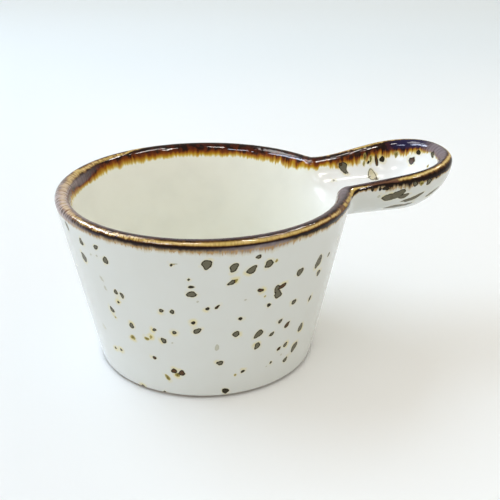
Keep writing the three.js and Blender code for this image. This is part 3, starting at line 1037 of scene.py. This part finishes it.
def turned_base(name):
    """The profile carried round the axis: x = radius * cos(turn), y = radius * sin(turn)."""
    radius = (base_high.x - base_low.x) / 2 / MM
    run, rise = base_profile(radius, base_low.z / MM, base_high.z / MM)
    turn = (np.arange(BASE_COLUMNS) / BASE_COLUMNS * 2 * np.pi)[:, None]
    points = np.stack(np.broadcast_arrays(run * np.cos(turn), run * np.sin(turn), rise), axis=-1)
    nearest, kinds = base_speck_marks(points[..., 0], points[..., 1], radius)
    far_below = np.full(nearest.shape, HEIGHT)
    loop = np.concatenate([points[..., :2], far_below[..., None]], axis=-1)
    none = np.zeros(nearest.shape)
    grids = dict.fromkeys(skin_marks, none)
    grids.update(band=far_below, loop=loop, speck=nearest, speck_kind=kinds)
    marks = {mark: flat_list(grid, grid[0, -1], grid[0, 0]) for mark, grid in grids.items()}
    facing = flat_list(skin_normals(points), (0, 0, 1), (0, 0, -1))
    points = flat_list(points, (0, 0, rise[-1]), (0, 0, rise[0]))
    quads, triangles = grid_faces(BASE_COLUMNS, len(run), False), pole_faces(BASE_COLUMNS, len(run))
    return add_mesh(name, points, facing, marks, quads, triangles)


base_coat = turned_base("base_coat")

# %% [markdown]
# ## Small tools for node materials
# A material is a graph of nodes. It could be drawn by hand in the shader editor, but a script can be read
# and run again. These helpers each add a node or two and hand back the output, so that a finish reads
# like a formula. Most shares are soft steps. Each is kept as four numbers under one name: where the step
# starts and ends, and the share before and after it.

# %% Numbers and noise
NOISE_MIDDLE = 0.5


def add_node(tree, kind, settings, inputs):
    """A node with its settings, and with each input set to a value or linked to another node's output."""
    made = tree.nodes.new(kind)
    for name, value in settings.items():
        setattr(made, name, value)
    for name, value in inputs.items():
        if isinstance(value, bpy.types.NodeSocket):
            tree.links.new(value, made.inputs[name])
        else:
            made.inputs[name].default_value = value
    return made


def figure(tree, operation, *values):
    """Arithmetic on one to three numbers."""
    return add_node(tree, "ShaderNodeMath", {"operation": operation}, dict(enumerate(values))).outputs[0]


def times(tree, first, second):
    """The product of two numbers."""
    return figure(tree, "MULTIPLY", first, second)


def eased(tree, value, start, end, before, after):
    """A soft step: one share up to its start, another from its end on, and a smooth S between."""
    inputs = {"Value": value, "From Min": start, "From Max": end, "To Min": before, "To Max": after}
    node = add_node(tree, "ShaderNodeMapRange", {"interpolation_type": "SMOOTHSTEP"}, inputs)
    return node.outputs["Result"]


def cloud(tree, vector, scale, detail=2.0):
    """Soft noise round 0.5."""
    inputs = {"Vector": vector, "Scale": scale, "Detail": detail}
    return add_node(tree, "ShaderNodeTexNoise", {}, inputs).outputs["Fac"]


def grain(tree, vector, scales, detail=2.0):
    """Noise with a scale for each direction, long in the direction whose scale is small."""
    place = add_node(tree, "ShaderNodeMapping", {}, {"Vector": vector, "Scale": scales})
    return cloud(tree, place.outputs["Vector"], 1.0, detail)


print("noise lies round", NOISE_MIDDLE)

# %% [markdown]
# ## Small tools for colours and finishes
# A colour on screen isn't the share of light that a glaze throws back, so each is first made linear. A
# row of colours could be a chain of mixes, but one ramp node holds a whole scale and is easier to read.

# %% Colours, marks and finishes
BUMP_HEIGHT = 0.00012
RAMP_MIDDLE = 0.5


def screen(red, green, blue):
    """A colour as it looks on screen, 0 to 255, in the linear form that node sockets take."""
    return (*Color((red / 255, green / 255, blue / 255)).from_srgb_to_scene_linear(), 1.0)


def mixed(tree, share, first, second):
    """The first colour, with a share of the second laid over it."""
    node = add_node(tree, "ShaderNodeMix", {"data_type": "RGBA"}, {0: share, 6: first, 7: second})
    return node.outputs[2]


def scale_of_colours(tree, value, stops, interpolation="LINEAR"):
    """A colour for each value, in straight lines between stops of (value, colour). The first and last
    carry on past the ends."""
    low, high = stops[0][0], stops[-1][0]
    place = add_node(tree, "ShaderNodeMapRange", {}, {"Value": value, "From Min": low, "From Max": high})
    ramp = add_node(tree, "ShaderNodeValToRGB", {}, {"Fac": place.outputs["Result"]})
    ramp.color_ramp.interpolation = interpolation
    elements = ramp.color_ramp.elements
    while len(elements) < len(stops):
        elements.new(RAMP_MIDDLE)
    for element, (at, colour) in zip(elements, stops):
        element.position = (at - low) / (high - low)
        element.color = colour
    return ramp.outputs["Color"]


def colour_of_kind(tree, kind, colours):
    """One colour for each kind. Each starts half a step before its number, so that rounding never takes
    its neighbour's."""
    stops = [(number - 0.5, colour) for number, colour in enumerate(colours)]
    return scale_of_colours(tree, kind, stops, "CONSTANT")


def mark_of(tree, name, output="Fac"):
    """One of the marks stored on the piece's points."""
    return add_node(tree, "ShaderNodeAttribute", {"attribute_name": name}, {}).outputs[output]


def place_of(tree):
    """Where a point is in the part's frame, in metres."""
    return add_node(tree, "ShaderNodeTexCoord", {}, {}).outputs["Object"]


def sides_of(tree, place):
    """A place as its X, Y and Z."""
    return add_node(tree, "ShaderNodeSeparateXYZ", {}, {"Vector": place}).outputs


def new_finish(name):
    """A new material with its node tree and its shader."""
    material = bpy.data.materials.new(name)
    material.use_nodes = True
    return material, material.node_tree, material.node_tree.nodes["Principled BSDF"]


def add_bump(tree, shader, height, strength):
    """A bump of that height pattern on a shader's face."""
    inputs = {"Height": height, "Strength": strength, "Distance": BUMP_HEIGHT}
    bump = add_node(tree, "ShaderNodeBump", {}, inputs)
    tree.links.new(bump.outputs["Normal"], shader.inputs["Normal"])


print("bumps:", round(BUMP_HEIGHT / MM, 2), "mm high at full strength")

# %% [markdown]
# ## The brown rim
# Where the brown lies thin on the crest it breaks to gold. On both sides of the crest it lies thick and
# goes nearly black, and lower down it thins through rust to amber and bleeds into the white in fine runs.
# All of that is one scale of colours over the distance from the crest. Noise that is stretched across the
# rim shifts the scale to and fro, and so draws the runs. They are wildest on the far side, on the left
# and on the handle.

# %% Scale of the rim's colours
WHITE_GROUND = screen(213, 216, 212)
CREAM_GROUND = screen(243, 244, 235)
RIM_STOPS = (
    (-5.6, CREAM_GROUND), (-5.2, screen(226, 212, 152)), (-4.8, screen(204, 172, 68)),
    (-4.4, screen(184, 140, 34)), (-3.95, screen(160, 100, 16)), (-3.4, screen(126, 62, 9)),
    (-2.9, screen(104, 46, 9)), (-2.3, screen(76, 29, 10)), (-1.1, screen(40, 15, 9)),
    (-0.85, screen(66, 42, 20)), (-0.6, screen(116, 82, 40)), (-0.3, screen(212, 180, 114)),
    (0.0, screen(228, 202, 140)), (0.3, screen(206, 172, 102)), (0.6, screen(100, 66, 30)),
    (0.85, screen(40, 20, 8)), (1.1, screen(22, 8, 2)), (1.65, screen(24, 10, 3)),
    (1.95, screen(74, 58, 40)), (2.3, screen(132, 114, 84)), (2.7, screen(178, 162, 126)),
    (3.2, screen(204, 200, 184)), (4.0, WHITE_GROUND),
)
RUN_GRAIN = (1.3, 1.3, 0.12)
SWAY_GRAIN = (0.4, 0.4, 0.25)
FINE_GRAIN = (2.6, 2.6, 0.3)
ROUGH_DETAIL = 3.0
MESSY_LEFT = (-0.046, -0.03, 1.0, 0.0)
MESSY_FAR = (0.0, 0.015, 0.0, 1.0)
MESSY_LOOSE = 1.3
LOOSE_AWAY = (0.6, 3.4, 0.35, 1.9)
LOOSE_HANDLE = (0.0, 0.02, 1.0, 2.1)


def streaked_band(tree, band, depth, runs, loop, sides, messy):
    """The band plus (runs + sway) times a looseness that grows away from the crest and on the handle."""
    loose = figure(tree, "MAXIMUM", eased(tree, depth, *LOOSE_AWAY), times(tree, messy, MESSY_LOOSE))
    loose = times(tree, loose, eased(tree, sides["X"], *LOOSE_HANDLE))
    sway = figure(tree, "SUBTRACT", grain(tree, loop, SWAY_GRAIN), NOISE_MIDDLE)
    shift = figure(tree, "ADD", figure(tree, "SUBTRACT", runs, NOISE_MIDDLE), sway)
    return figure(tree, "ADD", band, times(tree, shift, loose))


print("rim scale:", len(RIM_STOPS), "colours")

# %% [markdown]
# ## Gold, burnt patches and the painted navy reflection
# The gold is yellower in some places than in others, fine brown runs cross it, and near the neck it is
# tarnished to maroon. Inside it, patches are burnt nearly black, and on the trough's far side the
# window's blue reflection is painted navy. They could be more steps of the scale, but they come and go
# along the rim. So each is one more colour, laid over the scale by a share of its own.

# %% Gold and inner dark
GOLD_RUNS = screen(112, 66, 26)
GOLD_YELLOW = screen(198, 172, 84)
MAROON = screen(104, 68, 54)
BURNT_BLOTCH = screen(26, 11, 5)
# Painted reflection: the window's blue reflection in the trough, painted navy
NAVY_REFLECTION_COLOUR = screen(34, 30, 66)
TINT_GRAIN = (0.09, 0.09, 0.2)
TINT_PATCH = (0.42, 0.6, 0.0, 0.55)
TINT_ON_GOLD = (0.3, 0.75, 1.0, 0.0)
RUN_LINES = (0.48, 0.64, 0.0, 1.0)
RUNS_ON_GOLD = (0.5, 1.2, 1.0, 0.0)
MESSY_RUNS = (0.0, 1.0, 0.25, 0.85)
TARNISH_GRAIN = (0.55, 0.55, 0.3)
TARNISH_PATCH = (0.95, 1.1, 0.0, 0.9)
TARNISH_ON_GOLD = (0.7, 1.1, 1.0, 0.0)
BURNT_GRAIN = (0.5, 0.5, 0.55)
BURNT_HANDLE = (0.0, 0.02, 0.0, 0.05)
BURNT_PATCH = (0.47, 0.57, 0.0, 0.92)
BURNT_LOW = (-3.9, -2.6, 0.0, 1.0)
BURNT_HIGH = (-0.9, -0.5, 1.0, 0.0)


def gold_colour(tree, colour, depth, loop, fine, messy):
    """The scale with a yellow tint, brown runs and tarnish, all of them on the gold alone."""
    tint = eased(tree, grain(tree, loop, TINT_GRAIN), *TINT_PATCH)
    colour = mixed(tree, times(tree, tint, eased(tree, depth, *TINT_ON_GOLD)), colour, GOLD_YELLOW)
    lines = times(tree, eased(tree, fine, *RUN_LINES), eased(tree, depth, *RUNS_ON_GOLD))
    colour = mixed(tree, times(tree, lines, eased(tree, messy, *MESSY_RUNS)), colour, GOLD_RUNS)
    dim = figure(tree, "ADD", grain(tree, loop, TARNISH_GRAIN), mark_of(tree, "tarnish"))
    dim = times(tree, eased(tree, dim, *TARNISH_PATCH), eased(tree, depth, *TARNISH_ON_GOLD))
    return mixed(tree, dim, colour, MAROON)


def burnt_colour(tree, colour, band, streaked, loop, sides):
    """Burnt patches on the inner side of the gold, more of them on the handle, and the painted navy
    reflection of the window.
    """
    spread = eased(tree, sides["X"], *BURNT_HANDLE)
    spread = figure(tree, "ADD", grain(tree, loop, BURNT_GRAIN, ROUGH_DETAIL), spread)
    inner = times(tree, eased(tree, streaked, *BURNT_LOW), eased(tree, band, *BURNT_HIGH))
    colour = mixed(tree, times(tree, eased(tree, spread, *BURNT_PATCH), inner), colour, BURNT_BLOTCH)
    # Painted reflection: navy for the window's blue reflection in the trough
    return mixed(tree, mark_of(tree, "navy_sheen"), colour, NAVY_REFLECTION_COLOUR)


print("yellow gold in linear light:", [round(part, 2) for part in GOLD_YELLOW[:3]])

# %% [markdown]
# ## Painted reflections and teeth
# In some places a lilac reflection of the bright room is painted on the brown, and on the left, where the
# rim turns edge-on, a pale reflection is painted over it. Where the outer end of the brown runs into the
# white, it leaves a row of tan teeth. They could be drawn as a line of drops, but noise cut off by a step
# gives teeth of every length. Last, the trough is whiter than the bowl's cream inside.

# %% Colours over the whole rim
# Colours of painted reflections: the lilac sheen and the pale sheen where the rim turns edge-on
LILAC_REFLECTION_COLOUR = screen(136, 125, 131)
PALE_REFLECTION_COLOUR = screen(201, 185, 179)
TOOTH_TAN = screen(174, 136, 84)
TROUGH_WHITE = screen(246, 248, 247)
LILAC_REFLECTION_RUNS = (0.3, 0.7, 1.0, 0.55)
PALE_REFLECTION_RUNS = (0.42, 0.6, 0.95, 0.2)
TOOTH_GRAIN = (1.9, 1.9, 0.1)
TOOTH_LENGTH = -5.0
TOOTH_TIP = (2.5, 2.9, 0.75, 0.0)
TOOTH_ROOT = (2.2, 2.7, 0.0, 1.0)
TROUGH_START = (0.012, 0.03, 0.0, 1.0)
TROUGH_EDGE = (-6.5, -5.2, 1.0, 0.0)


def painted_reflection_colour(tree, colour, runs, fine, edge_sheen):
    """The painted lilac reflection, and the painted pale reflection where the rim turns edge-on, both
    broken by the runs.
    """
    # Painted reflection: the lilac sheen, then the pale sheen where the rim turns edge-on
    painted_lilac = times(tree, mark_of(tree, "lilac_sheen"), eased(tree, runs, *LILAC_REFLECTION_RUNS))
    colour = mixed(tree, painted_lilac, colour, LILAC_REFLECTION_COLOUR)
    return mixed(tree, times(tree, edge_sheen, eased(tree, fine, *PALE_REFLECTION_RUNS)), colour, PALE_REFLECTION_COLOUR)


def toothed_colour(tree, colour, band, loop, edge_sheen):
    """Tan teeth at the brown's outer end: noise times a length, added to the band, and cut by a step."""
    teeth = figure(tree, "SUBTRACT", grain(tree, loop, TOOTH_GRAIN), NOISE_MIDDLE)
    tips = figure(tree, "MULTIPLY_ADD", teeth, TOOTH_LENGTH, band)
    tooth = times(tree, eased(tree, tips, *TOOTH_TIP), eased(tree, band, *TOOTH_ROOT))
    # No teeth show under the painted pale reflection
    return mixed(tree, times(tree, tooth, figure(tree, "SUBTRACT", 1.0, edge_sheen)), colour, TOOTH_TAN)


def rim_colour(tree):
    """The scale of colours over the streaked band, and then each change laid over it in turn."""
    # The third mark is the share of a painted pale reflection where the rim turns edge-on
    band, loop, edge_sheen = mark_of(tree, "band"), mark_of(tree, "loop", "Vector"), mark_of(tree, "edge_sheen")
    sides = sides_of(tree, place_of(tree))
    depth = figure(tree, "ABSOLUTE", band)
    left, far = eased(tree, sides["X"], *MESSY_LEFT), eased(tree, sides["Y"], *MESSY_FAR)
    messy = figure(tree, "MAXIMUM", left, far)
    runs, fine = grain(tree, loop, RUN_GRAIN, ROUGH_DETAIL), grain(tree, loop, FINE_GRAIN)
    streaked = streaked_band(tree, band, depth, runs, loop, sides, messy)
    colour = scale_of_colours(tree, streaked, RIM_STOPS)
    colour = gold_colour(tree, colour, depth, loop, fine, messy)
    colour = burnt_colour(tree, colour, band, streaked, loop, sides)
    colour = painted_reflection_colour(tree, colour, runs, fine, edge_sheen)
    colour = toothed_colour(tree, colour, band, loop, edge_sheen)
    in_trough = times(tree, eased(tree, sides["X"], *TROUGH_START), eased(tree, band, *TROUGH_EDGE))
    return mixed(tree, in_trough, colour, TROUGH_WHITE)


print("trough turns white from x =", TROUGH_START[0] / MM, "to", TROUGH_START[1] / MM, "mm")

# %% [markdown]
# ## Specks in the glaze
# The stored distance is shifted by a little noise, so that no oval stays an oval. Inside the edge the
# speck is flat and dull, its outermost quarter millimetre is darker, and iron that bled out leaves a pale
# yellow halo. Amber specks are the other way round: yellow, with a dark core. A mesh for each speck would
# stand proud of the glass, so they are drawn in its colour. How strong a kind's edge and core are is
# looked up as its colour is, as a grey.

# %% Colours of the specks
SPECK_COLOURS = (
    screen(101, 97, 79), screen(48, 42, 28), screen(80, 52, 24),
    screen(178, 164, 88), screen(188, 188, 172), screen(200, 192, 156),
)
ALL_OF_IT = (1.0, 1.0, 1.0, 1.0)
SOME_OF_IT = (0.3, 0.3, 0.3, 1.0)
A_TRACE = (0.1, 0.1, 0.1, 1.0)
NONE_OF_IT = (0.0, 0.0, 0.0, 1.0)
SPECK_EDGES = (ALL_OF_IT, ALL_OF_IT, ALL_OF_IT, SOME_OF_IT, A_TRACE, ALL_OF_IT)
SPECK_CORES = (NONE_OF_IT, NONE_OF_IT, NONE_OF_IT, ALL_OF_IT, NONE_OF_IT, NONE_OF_IT)
AMBER_CORE = screen(78, 68, 18)
SPECK_EDGE = screen(32, 24, 12)
SPECK_HALO = screen(220, 208, 142)
WOBBLE_SCALE = 950.0
WOBBLE_REACH = 0.45
COVER_STEP = (-0.07, 0.07, 1.0, 0.0)
CORE_STEP = (-0.5, -0.2, 0.9, 0.0)
EDGE_STEP = (-0.4, -0.18, 0.0, 1.0)
NEAR_HALO = (0.0, 0.4, 0.45, 0.0)
WIDE_HALO = (0.0, 1.2, 0.9, 0.0)
BLED_SCALE = 260.0
BLED_PATCH = (0.48, 0.7, 0.0, 0.9)


def speck_cover(tree):
    """The uneven distance to the nearest speck's edge, and 1 inside it, 0 outside."""
    wobble = figure(tree, "SUBTRACT", cloud(tree, place_of(tree), WOBBLE_SCALE), NOISE_MIDDLE)
    uneven = figure(tree, "MULTIPLY_ADD", wobble, WOBBLE_REACH, mark_of(tree, "speck"))
    return uneven, eased(tree, uneven, *COVER_STEP)


def specked_colour(tree, ground, below, distance, cover):
    """The ground with halos and then specks over it. No halo shows on the brown."""
    kind = mark_of(tree, "speck_kind")
    strong = colour_of_kind(tree, kind, SPECK_EDGES)
    amber = colour_of_kind(tree, kind, SPECK_CORES)
    bled = eased(tree, cloud(tree, place_of(tree), BLED_SCALE), *BLED_PATCH)
    wide = times(tree, eased(tree, distance, *WIDE_HALO), bled)
    halo = figure(tree, "MAXIMUM", eased(tree, distance, *NEAR_HALO), wide)
    halo = times(tree, times(tree, halo, below), figure(tree, "MAXIMUM", strong, amber))
    ground = mixed(tree, halo, ground, SPECK_HALO)
    core = times(tree, eased(tree, distance, *CORE_STEP), amber)
    speck = mixed(tree, core, colour_of_kind(tree, kind, SPECK_COLOURS), AMBER_CORE)
    speck = mixed(tree, times(tree, eased(tree, distance, *EDGE_STEP), strong), speck, SPECK_EDGE)
    return mixed(tree, cover, ground, speck)


print("speck colours:", len(SPECK_COLOURS))

# %% [markdown]
# ## The whole glaze's colour
# The white is never quite even, so a slow mottle is laid over it below the brown. At the foot a thin
# brown line of painted contact shadow darkens the glaze's lower edge. Each coat could have colours of its
# own, but the brown and its runs cross from coat to coat, so all of them share this one graph.

# %% Ground, painted foot shadow and specks together
GROUND_SHADE = screen(200, 202, 196)
MOTTLE_SCALE = 90.0
MOTTLE_DETAIL = 4.0
MOTTLE_PATCH = (0.35, 0.75, 0.0, 0.14)
BELOW_BROWN = (3.4, 5.0, 0.0, 1.0)
# Painted contact shadow: its dark brown, the ring where it darkens the foot, and its band on the glaze
CONTACT_SHADOW_BROWN = screen(24, 20, 16)
CONTACT_SHADOW_START = (FOOT_RADIUS - 0.8) * MM
CONTACT_SHADOW_END = (FOOT_RADIUS - 0.5) * MM
CONTACT_SHADOW_LINE = ((BARE_FOOT - 0.1) * MM, (BARE_FOOT + 0.3) * MM, 0.35, 0.0)


def contact_shadow_share(tree, place, most):
    """The share of painted contact shadow: up to the most at the foot's outer edge, by the distance from
    the bowl's axis, and 0 further in.
    """
    moved = {"Vector": place, "Location": (-BOWL_X * MM, 0, 0), "Scale": (1, 1, 0)}
    flat = add_node(tree, "ShaderNodeMapping", {}, moved).outputs["Vector"]
    away = add_node(tree, "ShaderNodeVectorMath", {"operation": "LENGTH"}, {0: flat}).outputs["Value"]
    return eased(tree, away, CONTACT_SHADOW_START, CONTACT_SHADOW_END, 0.0, most)


def glaze_colour(tree, distance, cover):
    """The rim's colours and the mottled ground, with the foot's painted shadow line, and the specks over
    all.
    """
    place = place_of(tree)
    mottle = eased(tree, cloud(tree, place, MOTTLE_SCALE, MOTTLE_DETAIL), *MOTTLE_PATCH)
    below = eased(tree, figure(tree, "ABSOLUTE", mark_of(tree, "band")), *BELOW_BROWN)
    ground = mixed(tree, times(tree, mottle, below), rim_colour(tree), GROUND_SHADE)
    # Painted contact shadow along the glaze's lower edge
    line = eased(tree, sides_of(tree, place)["Z"], *CONTACT_SHADOW_LINE)
    ground = mixed(tree, times(tree, line, contact_shadow_share(tree, place, 1.0)), ground, CONTACT_SHADOW_BROWN)
    return specked_colour(tree, ground, below, distance, cover)


print("foot line up to", round(CONTACT_SHADOW_LINE[1] / MM, 2), "mm")

# %% [markdown]
# ## The glassy coat
# A stoneware glaze is glass: one even refractive index and a smooth but slightly wavy face. The waves
# come from a low bump, because in the mesh they would take far more points. The specks are sunk a little
# and are duller than the glass round them. The brown ran most while it was molten, so it has more of the
# fine ripples that break up a reflection.

# %% Glaze materials
GLASS_INDEX = 1.52
GLASS_SHINE = 0.17
BROWN_SHINE = 0.12
LINER_SHINE = 0.05
WHITE_RIPPLE = 0.1
BROWN_RIPPLE = 1.4
WAVE_SCALE = 130.0
RIPPLE_SCALE = 420.0
SMOOTH_DETAIL = 1.0
SPECK_SINK = -0.12
WAVE_STRENGTH = 0.6
DULL_SCALE = 400.0
DULL_PATCH = (0.3, 0.7, 0.05, 0.1)
SPECK_DULLNESS = 0.22


def glaze_material(name, shine, ripple):
    """One coat's finish: the shared colours, and a bump whose height is slow waves, less a little on the
    specks, plus ripple times a finer noise."""
    material, tree, shader = new_finish(name)
    place = place_of(tree)
    distance, cover = speck_cover(tree)
    tree.links.new(glaze_colour(tree, distance, cover), shader.inputs["Base Color"])
    dull = eased(tree, cloud(tree, place, DULL_SCALE), *DULL_PATCH)
    tree.links.new(figure(tree, "MULTIPLY_ADD", cover, SPECK_DULLNESS, dull), shader.inputs["Roughness"])
    waves = cloud(tree, place, WAVE_SCALE, SMOOTH_DETAIL)
    waves = figure(tree, "MULTIPLY_ADD", cover, SPECK_SINK, waves)
    waves = figure(tree, "MULTIPLY_ADD", cloud(tree, place, RIPPLE_SCALE, SMOOTH_DETAIL), ripple, waves)
    add_bump(tree, shader, waves, WAVE_STRENGTH)
    shader.inputs["IOR"].default_value = GLASS_INDEX
    shader.inputs["Specular IOR Level"].default_value = shine
    return material


speckled_glaze = glaze_material("speckled_white", GLASS_SHINE, WHITE_RIPPLE)
brown_glaze = glaze_material("brown_rim", BROWN_SHINE, BROWN_RIPPLE)
liner_glaze = glaze_material("cream_liner", LINER_SHINE, WHITE_RIPPLE)
for coat, node, slot, finish in (
    (outside_coat, "outside_glaze", "speckled_glaze", speckled_glaze),
    (rim_coat, "rim_glaze", "brown_glaze", brown_glaze),
    (inside_coat, "inside_glaze", "liner_glaze", liner_glaze),
    (base_coat, "base_glaze", "speckled_glaze", speckled_glaze),
):
    coat.data.materials.append(finish)
    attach(coat, "root")
    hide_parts(node)
    print(coat.name, "in", finish.name, "stands for", node)

# %% [markdown]
# ## Bare clay
# The two clay solids stay as they are packed. Only the wiped standing ring shows: fired stoneware, buff
# and dry, with dark grains of iron and a sandy face, its outer edge darkened by a painted contact shadow.
# A picture of clay could be wrapped round it, but noise has no seams and is as fine from close by.

# %% Clay material
CLAY_LIGHT = screen(196, 178, 152)
CLAY_DARK = screen(158, 136, 108)
CLAY_IRON = screen(92, 64, 44)
TONE_SCALE = 220.0
TONE_DETAIL = 5.0
TONE_PATCH = (0.35, 0.65, 0.0, 1.0)
IRON_SCALE = 1500.0
IRON_PEAK = (0.68, 0.74, 0.0, 0.8)
SAND_SCALE = 2600.0
SAND_STRENGTH = 0.5
CLAY_DULL = (0.0, 1.0, 0.78, 0.92)
# How dark the painted contact shadow makes the clay's outer edge
DARKEST_CONTACT_SHADOW = 0.95


def clay_material(name):
    """Buff clay: two mixed tones, iron grains where a fine noise peaks, a sandy bump, and a painted
    contact shadow on the outer edge."""
    material, tree, shader = new_finish(name)
    place = place_of(tree)
    tone = eased(tree, cloud(tree, place, TONE_SCALE, TONE_DETAIL), *TONE_PATCH)
    colour = mixed(tree, tone, CLAY_LIGHT, CLAY_DARK)
    grains = eased(tree, cloud(tree, place, IRON_SCALE, SMOOTH_DETAIL), *IRON_PEAK)
    colour = mixed(tree, grains, colour, CLAY_IRON)
    # Painted contact shadow on the clay's outer edge
    colour = mixed(tree, contact_shadow_share(tree, place, DARKEST_CONTACT_SHADOW), colour, CONTACT_SHADOW_BROWN)
    tree.links.new(colour, shader.inputs["Base Color"])
    add_bump(tree, shader, cloud(tree, place, SAND_SCALE, ROUGH_DETAIL), SAND_STRENGTH)
    tree.links.new(eased(tree, tone, *CLAY_DULL), shader.inputs["Roughness"])
    return material


clay = clay_material("bare_clay")
for node in ("bowl", "handle"):
    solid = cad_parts[node]
    solid.data.materials.clear()
    solid.data.materials.append(clay)
    print(node, "in", clay.name)

# %% [markdown]
# ## Floor and room
# The dish stands on a pale floor in a bright room whose ceiling is darker than its walls. The floor could
# be one flat colour, but then the light would burn it out to white on the lamp's side. So it is a little
# greyer there, and cooler towards the far end.

# %% Floor and room
FLOOR_REACH = 3.0
FLOOR_NEAR = screen(247, 249, 248)
FLOOR_LAMP_SIDE = screen(235, 238, 238)
FLOOR_FAR = screen(232, 241, 245)
FLOOR_DULLNESS = 0.6
FLOOR_SHINE = 0.1
LAMP_SIDE = (-0.1, 0.0, 1.0, 0.0)
FAR_END = (0.03, 0.5, 0.0, 1.0)
ROOM_COLOUR = screen(255, 249, 240)
WALL_LIGHT = 0.89
CEILING_LIGHT = 0.81
ROOM_HEIGHT = (0.2, 0.6, WALL_LIGHT, CEILING_LIGHT)


def pale_floor():
    """A wide level plane, a little cooler and greyer towards the lamp's side and the room's far end."""
    mesh = bpy.data.meshes.new("floor")
    low, high = -FLOOR_REACH, FLOOR_REACH
    mesh.from_pydata([(low, low, 0), (high, low, 0), (high, high, 0), (low, high, 0)], [], [(0, 1, 2, 3)])
    material, tree, shader = new_finish("pale_floor")
    sides = sides_of(tree, place_of(tree))
    colour = mixed(tree, eased(tree, sides["X"], *LAMP_SIDE), FLOOR_NEAR, FLOOR_LAMP_SIDE)
    colour = mixed(tree, eased(tree, sides["Y"], *FAR_END), colour, FLOOR_FAR)
    tree.links.new(colour, shader.inputs["Base Color"])
    shader.inputs["Roughness"].default_value = FLOOR_DULLNESS
    shader.inputs["Specular IOR Level"].default_value = FLOOR_SHINE
    mesh.materials.append(material)
    floor = bpy.data.objects.new("floor", mesh)
    bpy.context.scene.collection.objects.link(floor)


def bright_room():
    """A world that is bright up to the walls' top and a little less so above, by a direction's height."""
    world = bpy.data.worlds.new("world")
    bpy.context.scene.world = world
    world.use_nodes = True
    tree = world.node_tree
    way = add_node(tree, "ShaderNodeTexCoord", {}, {}).outputs["Generated"]
    room = tree.nodes["Background"]
    room.inputs["Color"].default_value = ROOM_COLOUR
    tree.links.new(eased(tree, sides_of(tree, way)["Z"], *ROOM_HEIGHT), room.inputs["Strength"])


pale_floor()
bright_room()
print("room: walls", WALL_LIGHT, "ceiling", CEILING_LIGHT)

# %% [markdown]
# ## Lamps
# A wide soft box above the far left side throws the soft shadow to the right, and a weak one fills the
# left side. The other lamps are seen only in the gloss. They draw the white lines and short dashes along
# the rim that show the glaze is glass. They could light the dish as well, but then each would throw a
# shadow of its own.

# %% Lamps
DAYLIGHT = screen(206, 230, 255)[:3]
WINDOW_BLUE = screen(222, 232, 255)[:3]
LAMP_WHITE = screen(255, 249, 242)[:3]
LAMP_DISTANCE = 1.0
# Name, azimuth and height in degrees, width and height in metres, watts, colour, and if it lights the dish
LAMPS = (
    ("key", (140, 52), (0.75, 0.5), 4.3, DAYLIGHT, True),
    ("left_fill", (185, 12), (1.0, 0.7), 1.7, WINDOW_BLUE, True),
    ("key_sheen", (140, 60), (0.5, 0.25), 8.0, LAMP_WHITE, False),
    ("right_dash", (-6, 67), (0.06, 0.25), 7.5, LAMP_WHITE, False),
    ("front_dash", (-58, 60), (0.06, 0.25), 7.5, LAMP_WHITE, False),
    ("near_dash", (-125, 69), (0.16, 0.12), 6.0, LAMP_WHITE, False),
    ("far_dash", (25, 54), (0.1, 0.14), 5.0, LAMP_WHITE, False),
    ("window", (155, 42), (0.85, 0.2), 30.0, WINDOW_BLUE, False),
    ("window_end", (221, 39), (0.3, 0.2), 9.0, WINDOW_BLUE, False),
)


def soft_box(name, way, size, watts, colour, lights):
    """An area lamp of that width and height, facing the dish from an azimuth and a height in degrees. One
    that doesn't light is seen only in the gloss."""
    turn, rise = map(math.radians, way)
    place = Vector((math.cos(rise) * math.cos(turn), math.cos(rise) * math.sin(turn), math.sin(rise)))
    data = bpy.data.lights.new(name, "AREA")
    data.shape = "RECTANGLE"
    data.size, data.size_y = size
    data.energy = watts
    data.color = colour
    lamp = bpy.data.objects.new(name, data)
    lamp.location = place * LAMP_DISTANCE
    lamp.rotation_euler = (-place).to_track_quat("-Z", "Y").to_euler()
    lamp.visible_diffuse = lights
    lamp.visible_camera = False
    bpy.context.scene.collection.objects.link(lamp)


for lamp in LAMPS:
    soft_box(*lamp)
bpy.context.scene.view_settings.view_transform = "Standard"
